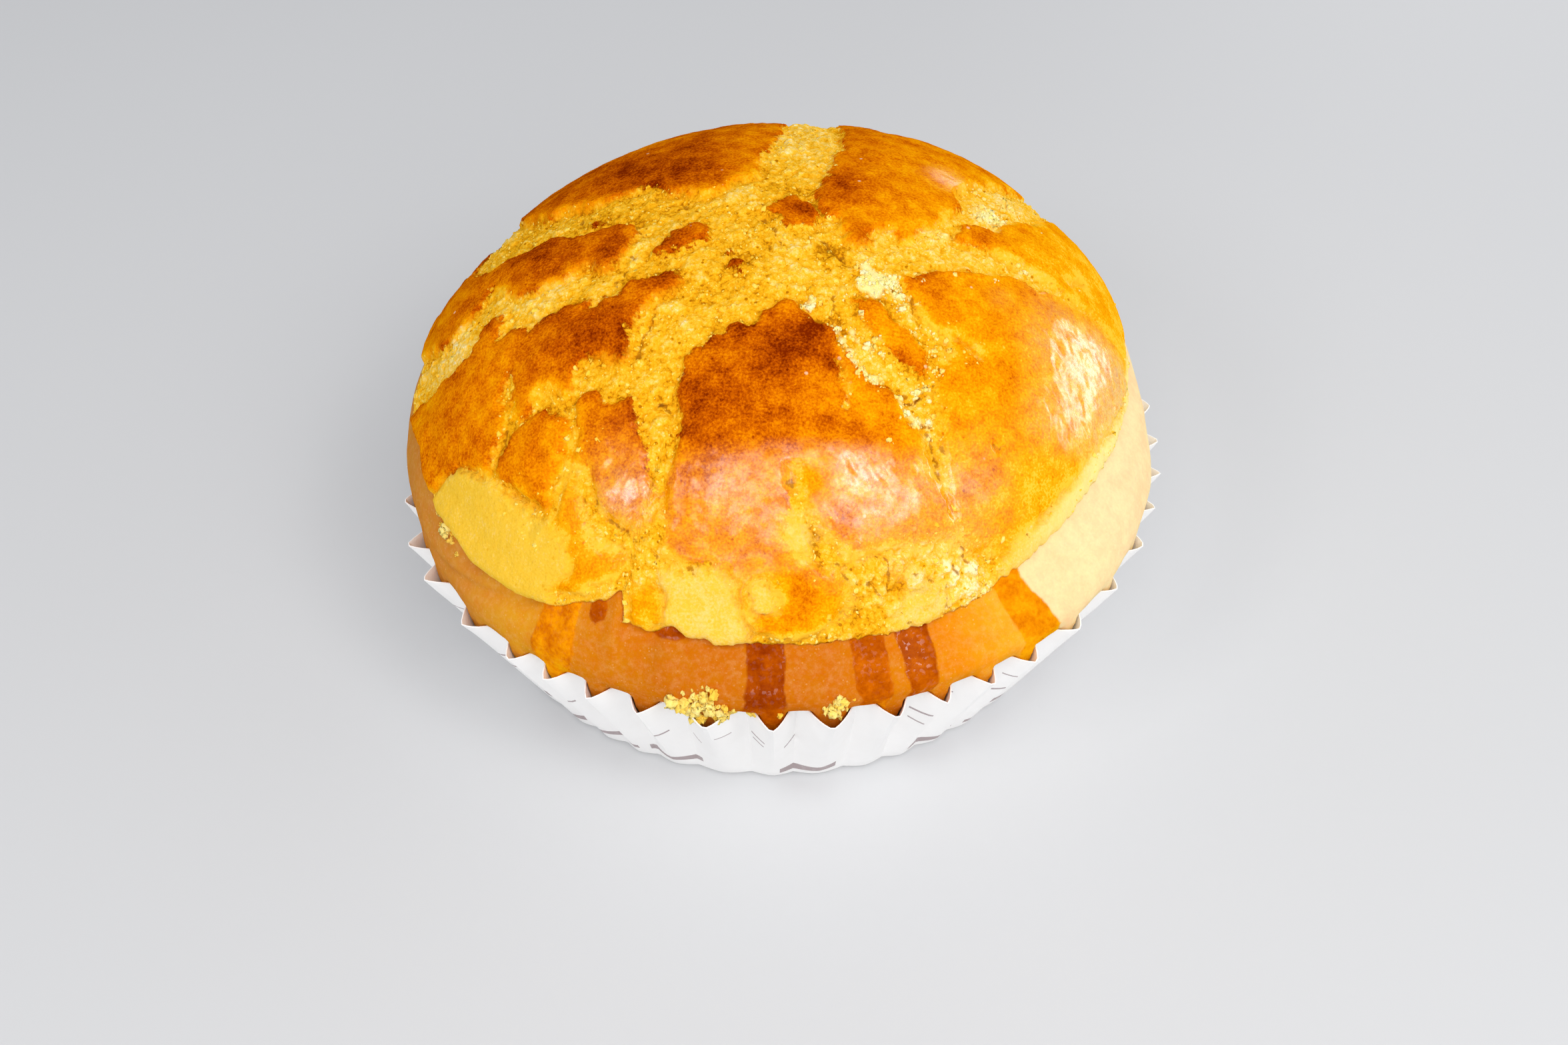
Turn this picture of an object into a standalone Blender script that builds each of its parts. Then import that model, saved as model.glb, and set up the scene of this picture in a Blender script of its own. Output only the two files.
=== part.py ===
# Pineapple bun in its fluted paper case: a domed sweet bread under a cracked cookie crust.
# Metres, +Z up. The origin is the centre of the case's underside, which stands on z = 0.
# An azimuth is counted from the -Y side, and 90 degrees is the +X side.
# The crust is laid out on a map, in millimetres along its surface: u towards +X and v towards +Y,
# with the top of the dome at (0, 0), so that the distance from there is an arc length.

import math

import bmesh
import bpy
from mathutils import Vector

MM = 0.001

# Paper case
CASE_FLUTES = 44
CASE_HEIGHT = 24.0 * MM
CASE_BASE_RADIUS = 42.0 * MM
CASE_RIM_RADIUS = 54.0 * MM
CASE_BASE_FOLD = 0.6 * MM  # from outer fold to inner fold
CASE_RIM_FOLD = 3.3 * MM
CASE_FOLD_ROUNDING = 1.3  # 1 creases both folds, more rounds the inner ones
CASE_PAPER = 0.3 * MM
CASE_FLOOR = 0.4 * MM
CASE_WALL_RINGS = 4
FLUTE_PHASES = (0.0, 0.3, 0.5, 0.7)  # share of a flute, from one outer fold to the next

# Bun
BUN_RADIUS = 50.6 * MM
BUN_WIDEST_Z = 26.0 * MM
BUN_TOP_Z = 61.8 * MM
BUN_CENTRE = (0.2 * MM, 1.3 * MM)
BUN_OUT_OF_ROUND = 0.032
BUN_LONG_AZIMUTH = math.radians(-50)
BREAD_BASE_INSET = 2.0 * MM
BREAD_BASE_RINGS = (0.13, 0.4, 0.7)  # heights up the case, as shares of it
BREAD_SIDE_POINTS = 72
BREAD_SIDE_RINGS = (0.0, 0.2, 0.45, 0.7)  # shares of the way from the widest line to the crust
# How far from the axis the bread's side bulges over the case, in millimetres, at azimuths in degrees
BREAD_BULGE = (
    (-180, 51.8),
    (-120, 51.0),
    (-90, 50.8),
    (-57, 51.9),
    (-45, 52.4),
    (0, 51.8),
    (56, 52.9),
    (80, 53.0),
    (140, 52.0),
)
BREAD_BULGE_FADE = 0.8  # power of the bulge's fall towards the crust
MERIDIAN_STEPS = 200
GAP = 0.3 * MM

# Cookie crust
CRUST_DEPTH = 3.8 * MM  # how far the bread lies below the outer surface, under the crust
CRUST_FADE_INSIDE = 12.0 * MM
CRUST_FADE_OUTSIDE = 6.0 * MM
CRUST_LIP = 0.8 * MM  # how far the rim of the crust swells out
CRUST_LIP_WIDTH = 5.0 * MM
CRUST_LIP_AZIMUTH = math.radians(-40)  # where the lip is thickest
CRUST_RINGS = 22
# Rings of the face that the crust lies on: share of the way out to the edge, and points
CRUST_BED_RINGS = (
    (1.0, 132),
    (0.93, 88),
    (0.84, 66),
    (0.72, 66),
    (0.6, 44),
    (0.46, 44),
    (0.31, 33),
    (0.15, 22),
)
# Arc length from the top to the crust's ragged lower edge, at azimuths in degrees
CRUST_EDGE = (
    (-180, 59.5),
    (-140, 61.0),
    (-100, 60.0),
    (-75, 61.2),
    (-60, 60.0),
    (-42, 62.2),
    (-30, 60.0),
    (-22, 57.4),
    (-17, 60.4),
    (0, 61.4),
    (25, 62.4),
    (37, 61.2),
    (50, 59.8),
    (70, 58.6),
    (90, 58.4),
    (125, 59.0),
    (150, 57.5),
)
# Furrows torn in the crust as the dough rose: half width, depth, and the line of the furrow's middle
FURROW_FLOOR = 0.5  # shares of the half width
FURROW_BANK = 0.8
FURROWS = (
    (9.0, 1.3, ((-10, 1), (0, -3), (5, -9), (-4, -14))),
    (3.0, 1.3, ((-10, -18), (-15, -27), (-15, -36), (-15, -48))),
    (3.4, 1.2, ((-14, -5), (-26, -9), (-40, -7), (-52, -13), (-60, -13))),
    (4.6, 1.2, ((-14, 6), (-27, 8), (-41, 11), (-50, 18), (-58, 24))),
    (3.8, 1.2, ((0, 4), (3, 13), (4, 24), (6, 42), (4, 58))),
    (3.0, 1.1, ((8, -9), (16, -4), (23, 1), (29, 11), (36, 20), (44, 34))),
    (1.8, 0.8, ((24, -4), (32, -2), (39, 1), (47, 3))),
    (2.6, 1.0, ((8, -14), (9, -21), (13, -26), (19, -29), (22, -37))),
    (2.0, 0.9, ((12, -11), (17, -15), (22, -19), (20, -28))),
    (2.6, 0.8, ((-16, -22), (-25, -23), (-31, -27), (-39, -31))),
    (2.0, 0.7, ((-25, -42), (-16, -49), (-10, -51))),
    (3.2, 0.8, ((14, -50), (24, -49), (34, -47))),
    (3.2, 1.0, ((-27, 37), (-32, 46), (-36, 52))),
    (3.0, 1.0, ((18, 37), (24, 44), (30, 52))),
)

# Base colours, linear
PAPER_WHITE = (0.80, 0.78, 0.76)
BREAD_TAN = (0.66, 0.29, 0.06)
CRUST_GOLD = (0.72, 0.32, 0.03)


def smooth_step(x):
    x = min(max(x, 0.0), 1.0)
    return x * x * (3.0 - 2.0 * x)


def between(table, x):
    """Value at x of a curve through the table's (x, value) pairs, eased from one to the next."""
    for (x0, y0), (x1, y1) in zip(table, table[1:]):
        if x <= x1:
            return y0 + (y1 - y0) * smooth_step((x - x0) / (x1 - x0))
    return table[-1][1]


def polar(radius, azimuth, z, centre=(0.0, 0.0)):
    x = centre[0] + radius * math.sin(azimuth)
    y = centre[1] - radius * math.cos(azimuth)
    return Vector((x, y, z))


def azimuths(count):
    return [2 * math.pi * k / count for k in range(count)]


def meridian():
    """The dome's profile as (arc length from the top, radius, height) rows."""
    rows = [(0.0, 0.0, BUN_TOP_Z)]
    for k in range(1, MERIDIAN_STEPS + 1):
        turn = math.pi / 2 * k / MERIDIAN_STEPS
        radius = BUN_RADIUS * math.sin(turn)
        z = BUN_WIDEST_Z + (BUN_TOP_Z - BUN_WIDEST_Z) * math.cos(turn)
        arc, last_radius, last_z = rows[-1]
        rows.append((arc + math.hypot(radius - last_radius, z - last_z), radius, z))
    return rows


MERIDIAN = meridian()
WIDEST_ARC = MERIDIAN[-1][0]


def dome_point(arc, azimuth, offset=0.0):
    """A point of the bun's outer surface, moved out along its normal by the offset."""
    arc = min(max(arc, 0.0), WIDEST_ARC)
    after = next(k for k in range(1, len(MERIDIAN)) if MERIDIAN[k][0] >= arc)
    arc0, radius0, z0 = MERIDIAN[after - 1]
    arc1, radius1, z1 = MERIDIAN[after]
    share = (arc - arc0) / (arc1 - arc0)
    rise = (z0 - z1) / (arc1 - arc0)
    spread = (radius1 - radius0) / (arc1 - arc0)
    radius = radius0 + (radius1 - radius0) * share
    radius *= 1 + BUN_OUT_OF_ROUND * math.cos(2 * (azimuth - BUN_LONG_AZIMUTH))
    z = z0 + (z1 - z0) * share + spread * offset
    return polar(radius + rise * offset, azimuth, z, BUN_CENTRE)


def around_table(table, azimuth):
    """Value of a table of (degrees, millimetres) that starts at -180 and comes round to its start."""
    degrees = (math.degrees(azimuth) + 180) % 360 - 180
    return between(table + ((180, table[0][1]),), degrees) * MM


def crust_edge(azimuth):
    return around_table(CRUST_EDGE, azimuth)


def crust_bed(arc, azimuth):
    """How far the bread's surface lies below the bun's outer surface."""
    past = arc - (crust_edge(azimuth) - CRUST_FADE_INSIDE)
    return CRUST_DEPTH * (1 - smooth_step(past / (CRUST_FADE_INSIDE + CRUST_FADE_OUTSIDE)))


def distance_to_line(u, v, line):
    nearest = math.inf
    for (u0, v0), (u1, v1) in zip(line, line[1:]):
        du, dv = u1 - u0, v1 - v0
        along = ((u - u0) * du + (v - v0) * dv) / (du * du + dv * dv)
        along = min(max(along, 0.0), 1.0)
        nearest = min(nearest, math.hypot(u - u0 - along * du, v - v0 - along * dv))
    return nearest


def crust_relief(arc, azimuth):
    """Height of the crust over the bun's outer surface: the furrows sink and the rim's lip swells."""
    u = arc / MM * math.sin(azimuth)
    v = -arc / MM * math.cos(azimuth)
    sunk = 0.0
    for half_width, depth, line in FURROWS:
        away = distance_to_line(u, v, line) / half_width
        sunk = max(sunk, depth * (1 - smooth_step((away - FURROW_FLOOR) / FURROW_BANK)))
    side = 0.5 + 0.5 * math.cos(azimuth - CRUST_LIP_AZIMUTH)
    swell = smooth_step((arc - crust_edge(azimuth)) / CRUST_LIP_WIDTH + 1)
    return CRUST_LIP * side * swell - sunk * MM


def ring(bm, points):
    return [bm.verts.new(point) for point in points]


def join_rings(bm, low, high):
    """Triangles between two rings that run the same way round, and may differ in number of points."""
    at_low, at_high = 0, 0
    while at_low < len(low) or at_high < len(high):
        corner_low, corner_high = low[at_low % len(low)], high[at_high % len(high)]
        low_next, high_next = (at_low + 1) / len(low), (at_high + 1) / len(high)
        if low_next <= high_next:
            bm.faces.new((corner_low, low[(at_low + 1) % len(low)], corner_high))
            at_low += 1
        else:
            bm.faces.new((corner_low, high[(at_high + 1) % len(high)], corner_high))
            at_high += 1


def close_ring(bm, last, point):
    centre = bm.verts.new(point)
    for start, end in zip(last, last[1:] + last[:1]):
        bm.faces.new((start, end, centre))


def skin(bm, rings, first_point, last_point):
    """One closed surface through a stack of rings, closed by a fan at each end."""
    close_ring(bm, rings[0][::-1], first_point)
    for low, high in zip(rings, rings[1:]):
        join_rings(bm, low, high)
    close_ring(bm, rings[-1], last_point)


def material(name, colour, roughness):
    made = bpy.data.materials.new(name)
    made.use_nodes = True
    shader = made.node_tree.nodes["Principled BSDF"]
    shader.inputs["Base Color"].default_value = (*colour, 1.0)
    shader.inputs["Roughness"].default_value = roughness
    shader.inputs["Metallic"].default_value = 0.0
    made.diffuse_color = (*colour, 1.0)
    return made


def add_object(name, bm, made_of, crease_degrees):
    mesh = bpy.data.meshes.new(name)
    bm.to_mesh(mesh)
    bm.free()
    mesh.materials.append(made_of)
    mesh.shade_smooth()
    mesh.set_sharp_from_angle(angle=math.radians(crease_degrees))
    placed = bpy.data.objects.new(name, mesh)
    bpy.context.scene.collection.objects.link(placed)
    return placed


def case_fold_radii(height_share):
    """Radii of the outer and the inner folds, in the middle of the paper."""
    outer = CASE_BASE_RADIUS + (CASE_RIM_RADIUS - CASE_BASE_RADIUS) * height_share
    fold = CASE_BASE_FOLD + (CASE_RIM_FOLD - CASE_BASE_FOLD) * height_share
    return outer - CASE_PAPER / 2, outer - CASE_PAPER / 2 - fold


def case_ring(bm, height_share, z, paper_offset):
    outer, inner = case_fold_radii(height_share)
    points = []
    for flute in range(CASE_FLUTES):
        for phase in FLUTE_PHASES:
            azimuth = 2 * math.pi * (flute + phase) / CASE_FLUTES
            fold = abs(1 - 2 * phase) ** CASE_FOLD_ROUNDING
            points.append(polar(inner + (outer - inner) * fold + paper_offset, azimuth, z))
    return ring(bm, points)


def make_case():
    """The paper cup: a flat floor, and a flared wall folded into flutes that deepen towards the rim."""
    bm = bmesh.new()
    shares = [k / (CASE_WALL_RINGS - 1) for k in range(CASE_WALL_RINGS)]
    outside = [case_ring(bm, share, share * CASE_HEIGHT, CASE_PAPER / 2) for share in shares]
    floor_share = CASE_FLOOR / CASE_HEIGHT
    inside = [case_ring(bm, share, share * CASE_HEIGHT, -CASE_PAPER / 2) for share in shares[:0:-1]]
    inside.append(case_ring(bm, floor_share, CASE_FLOOR, -CASE_PAPER / 2))
    skin(bm, outside + inside, (0, 0, 0), (0, 0, CASE_FLOOR))
    return add_object("paper_case", bm, material("paper", PAPER_WHITE, 0.7), crease_degrees=25)


def underside_rings(bm, clearance):
    """Rings of the face between bread and crust, this far above the bread, from the edge to the top."""
    rings = []
    for share, count in CRUST_BED_RINGS:
        points = []
        for azimuth in azimuths(count):
            arc = share * crust_edge(azimuth)
            points.append(dome_point(arc, azimuth, clearance - crust_bed(arc, azimuth)))
        rings.append(ring(bm, points))
    return rings


def make_bread():
    """The bun's body: a base that fills the case, sides that swell over its rim, and a bed for the crust."""
    bm = bmesh.new()
    around = azimuths(BREAD_SIDE_POINTS)
    low_z = CASE_FLOOR + GAP
    clear = GAP + CASE_PAPER / 2
    rings = [ring(bm, [polar(CASE_BASE_RADIUS - BREAD_BASE_INSET, a, low_z) for a in around])]
    for share in (*BREAD_BASE_RINGS, 1.0):
        held_radius = case_fold_radii(share)[1] - clear
        z = share * CASE_HEIGHT + GAP
        rings.append(ring(bm, [polar(held_radius, a, z) for a in around]))
    for share in BREAD_SIDE_RINGS:
        points = []
        for azimuth in around:
            arc = WIDEST_ARC + (crust_edge(azimuth) - WIDEST_ARC) * share
            widest = dome_point(WIDEST_ARC, azimuth)
            bulge = around_table(BREAD_BULGE, azimuth) - math.hypot(widest.x, widest.y)
            bulge *= smooth_step(1 - share) ** BREAD_BULGE_FADE
            points.append(dome_point(arc, azimuth, -crust_bed(arc, azimuth)) + polar(bulge, azimuth, 0.0))
        rings.append(ring(bm, points))
    rings += underside_rings(bm, 0.0)
    top = dome_point(0.0, 0.0, -CRUST_DEPTH)
    skin(bm, rings, (0, 0, low_z), top)
    return add_object("bread", bm, material("bread", BREAD_TAN, 0.5), crease_degrees=50)


def make_crust():
    """The cookie crust: a shell on the bread with a ragged, swollen rim and torn furrows."""
    bm = bmesh.new()
    underside = underside_rings(bm, GAP)
    outside = []
    for step in range(CRUST_RINGS, 0, -1):
        points = []
        for azimuth in azimuths(6 * step):
            arc = crust_edge(azimuth) * step / CRUST_RINGS
            points.append(dome_point(arc, azimuth, crust_relief(arc, azimuth)))
        outside.append(ring(bm, points))
    under_top = dome_point(0.0, 0.0, GAP - CRUST_DEPTH)
    top = dome_point(0.0, 0.0, crust_relief(0.0, 0.0))
    skin(bm, underside[::-1] + outside, under_top, top)
    return add_object("cookie_crust", bm, material("crust", CRUST_GOLD, 0.4), crease_degrees=40)


def main():
    for left_over in list(bpy.data.objects):
        bpy.data.objects.remove(left_over)
    make_case()
    make_bread()
    make_crust()


main()
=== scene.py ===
import math

import bpy
import numpy as np
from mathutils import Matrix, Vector, noise
from mathutils.bvhtree import BVHTree


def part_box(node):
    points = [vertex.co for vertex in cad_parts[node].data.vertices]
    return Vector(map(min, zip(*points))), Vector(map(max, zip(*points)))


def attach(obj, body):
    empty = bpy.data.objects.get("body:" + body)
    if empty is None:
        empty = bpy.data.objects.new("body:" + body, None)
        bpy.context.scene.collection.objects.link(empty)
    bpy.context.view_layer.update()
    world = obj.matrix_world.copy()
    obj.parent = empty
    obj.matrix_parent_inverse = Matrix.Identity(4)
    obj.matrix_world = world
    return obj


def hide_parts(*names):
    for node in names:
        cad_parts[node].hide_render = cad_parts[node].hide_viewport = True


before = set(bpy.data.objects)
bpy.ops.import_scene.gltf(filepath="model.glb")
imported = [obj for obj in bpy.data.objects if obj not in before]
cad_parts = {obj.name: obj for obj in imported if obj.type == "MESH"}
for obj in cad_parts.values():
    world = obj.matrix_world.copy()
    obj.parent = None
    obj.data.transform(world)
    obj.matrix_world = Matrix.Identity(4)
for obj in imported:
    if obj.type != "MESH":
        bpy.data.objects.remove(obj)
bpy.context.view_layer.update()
mm = 0.001


def softStep(x):
    x = np.clip(x, 0.0, 1.0)
    return x * x * (3.0 - 2.0 * x)


def fadeIn(x, start, stretch):
    # 0 up to the start, and 1 once x is a stretch past it
    return softStep((x - start) / stretch)


def rgb(code):
    # a colour as it shows on screen, such as "F4C840", in the linear values that a shader takes
    shown = [int(code[i:i + 2], 16) / 255 for i in (0, 2, 4)]
    return tuple(c / 12.92 if c <= 0.04045 else ((c + 0.055) / 1.055) ** 2.4 for c in shown) + (1.0,)


def mixed(a, b, share):
    return a + (b - a) * share


def hills(points, size, seed, depth=2):
    # soft random hills and dips, about -1 to 1, each about this many millimetres across
    start = Vector((13.7, 5.3, 9.1)) * seed
    return np.array([noise.fractal(Vector(p) / size + start, 1.0, 2.0, depth) for p in points])


def lumps(points, size, seed):
    # packed lumps of about this size: 1 in the middle of a lump, 0 in the joints between them
    start = Vector((4.1, 17.9, 2.7)) * seed
    near = [noise.voronoi(Vector(p) / size + start)[0] for p in points]
    return softStep(np.array([d[1] - d[0] for d in near]) / 0.55)


def wrapped(azimuth):
    # azimuth in degrees from -180 to 180
    return (np.degrees(azimuth) + 180) % 360 - 180


def easedTable(table, x):
    # value at x on a curve through the table's (x, value) pairs
    keys, values = np.array(table, float).T
    after = np.clip(np.searchsorted(keys, x), 1, len(keys) - 1)
    share = softStep((x - keys[after - 1]) / (keys[after] - keys[after - 1]))
    return mixed(values[after - 1], values[after], share)


def lineDistance(x, y, line, closed=False):
    corners = np.array(line, float)
    ends = np.roll(corners, -1, 0) if closed else corners[1:]
    nearest = np.full(x.shape, np.inf)
    for (x0, y0), (x1, y1) in zip(corners, ends):
        dx, dy = x1 - x0, y1 - y0
        along = np.clip(((x - x0) * dx + (y - y0) * dy) / (dx * dx + dy * dy), 0, 1)
        nearest = np.minimum(nearest, np.hypot(x - x0 - along * dx, y - y0 - along * dy))
    return nearest


def insideDistance(x, y, outline):
    # distance to a closed outline, positive inside it
    inside = np.zeros(x.shape, bool)
    for (x0, y0), (x1, y1) in zip(outline, outline[1:] + outline[:1]):
        slope = (x1 - x0) / (y1 - y0) if y1 != y0 else 0.0
        inside ^= ((y0 > y) != (y1 > y)) & (x < x0 + (y - y0) * slope)
    return lineDistance(x, y, outline, closed=True) * np.where(inside, 1, -1)


def spotted(x, y, spots):
    # sum of soft round spots, each (x, y, reach, amount)
    return sum(amount * np.exp(-((x - x0) ** 2 + (y - y0) ** 2) / reach ** 2)
               for x0, y0, reach, amount in spots)


def covered(x, y, spots):
    return np.clip(spotted(x, y, spots), 0, 1)


# the bun's dome: a half ellipse turned about its axis, slightly out of round
bun = {
    "radius": 50.6,
    "widestZ": 26.0,
    "topZ": 61.8,
    "centre": (0.2, 1.3),
    "outOfRound": 0.032,
    "longAzimuth": math.radians(-50),
    "profilePoints": 400,
}
profileTurn = np.linspace(0, math.pi / 2, bun["profilePoints"])
profileR = bun["radius"] * np.sin(profileTurn)
profileZ = bun["widestZ"] + (bun["topZ"] - bun["widestZ"]) * np.cos(profileTurn)
profileArc = np.concatenate(([0], np.cumsum(np.hypot(np.diff(profileR), np.diff(profileZ)))))
profileSpread = np.gradient(profileR, profileArc)
profileRise = -np.gradient(profileZ, profileArc)
widestArc = profileArc[-1]


def ringPoints(radius, azimuth, z, centre=(0.0, 0.0)):
    x = centre[0] + radius * np.sin(azimuth)
    y = centre[1] - radius * np.cos(azimuth)
    return np.stack(np.broadcast_arrays(x, y, z), -1)


def domePoints(arc, azimuth, lift):
    # points of the dome, moved out along its normal by the lift
    radius = np.interp(arc, profileArc, profileR)
    radius *= 1 + bun["outOfRound"] * np.cos(2 * (azimuth - bun["longAzimuth"]))
    z = np.interp(arc, profileArc, profileZ) + np.interp(arc, profileArc, profileSpread) * lift
    radius = radius + np.interp(arc, profileArc, profileRise) * lift
    return ringPoints(radius, azimuth, z, bun["centre"])


crust = {
    "rings": 172,  # ring k has 6k points
    "underRings": ((0.93, 198), (0.8, 132), (0.6, 66), (0.35, 33)),  # share of the way out, points
    "tuckIn": (1.0, 0.2),  # how far inside the edge the underside's last rings lie
    "bedDepth": 3.8,  # the bread lies this far under the dome's surface, in the middle
    "fadeInside": 12.0,  # the bed rises to the dome over this stretch, before and past the edge
    "fadeOutside": 6.0,
    "lip": 0.8,
    "lipWidth": 5.0,
    "lipAzimuth": math.radians(-40),
    "rimRound": 1.5,  # width of the rounded rim
    "rimThickness": 0.25,
    "contact": 0.15,  # gap to the bread
    "ragged": 0.5,  # how far the edge wanders
    "raggedRing": 54.0,  # its wander is read off a ring of this radius
    "raggedRange": 0.7,  # how much less and more it wanders on the two stretches named below
    "stray": ((0.6, 4.2, 2), (0.5, 1.3, 3)),  # how far the outlines wander: amount, size, detail
    "strayBack": (1.6, 22, 16),  # more of it at the back: amount, from this v, over this stretch
    "fadeLook": 1.5,  # distance over which an edge's facing is measured
    "waves": 0.2,
    "crumbDepth": 1.05,  # the crumb lies this far below the slabs
    "crumbRise": 1.4,  # width over which it rises to a slab
    "crumbRelief": (0.38, 0.24, 0.14),  # ledges, clumps and grains
    "crumbSizes": (6.5, 1.9, 0.8),
    "groove": 0.3,  # a deeper line along the slabs' edges
    "brokenRelief": 0.6,
    "brokenSize": 2.4,
    "heap": 0.35,
    "crackDepth": 0.5,  # of the depths given below
    "slabCrown": 0.3,  # how far the middle of a slab stands over its edge
    "blister": (0.07, 0.12),  # everywhere, and more where it is wet
    "pimple": 0.03,
    "wrinkle": (0.02, 0.03, 0.02),  # everywhere, more where it is wet, and on the shoulder
    "wrinkleSize": 1.1,
    "toast": 0.35,  # browning, before what the spots add
    "mottle": ((0.11, 5, 11, 2), (0.15, 2.4, 14, 3)),  # of the browning: amount, size, seed, detail
}
# where the egg wash lies thick, on the map: where it fades in, and over how much
wash = {
    "frontFrom": (34.6, 3),  # towards the front
    "frontMiddle": 8,
    "frontWide": (-26, 10),  # from both sides towards that middle
    "shoulder": 0.7,
    "shoulderRight": (32, 9),  # towards the right
    "shoulderBack": (1, 8),  # towards the front
    "shoulderFront": (-30, 8),  # towards the back
    "left": (-20, 5, -40, 6),  # u and its reach, v and its reach
    "shine": (0.5, 0.62),  # of the front and of the left
}
# arc of the crust's lower edge by azimuth in degrees
edgeTable = (
    (-180, 59.5), (-140, 61.0), (-100, 60.0), (-80, 60.6), (-70, 58.8), (-64, 60.6), (-59, 61.2),
    (-54, 61.4), (-49, 62.7), (-40, 62.4), (-33, 61.4), (-29, 59.4), (-25.5, 58.0), (-23, 56.0),
    (-21.6, 60.0), (-18, 60.8), (-15.5, 59.4), (-12, 60.6), (-8, 61.1), (0, 61.4), (8, 61.6), (16, 62.4),
    (22, 62.4), (28, 62.4), (33, 61.8), (40, 60.8), (50, 59.8), (60, 58.9), (75, 58.5), (90, 58.4),
    (125, 59.0), (150, 57.5), (180, 59.5),
)
smoothEdge = (-46, 10)  # azimuth and reach of the stretch where the edge is least ragged
brokenEdge = (33, 18)  # and where it is most ragged
crumblyEdges = ((1.0, -8, 38, 6), (0.8, 50, 112, 8))  # crumbs on the edge: amount, azimuths, fade

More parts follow.
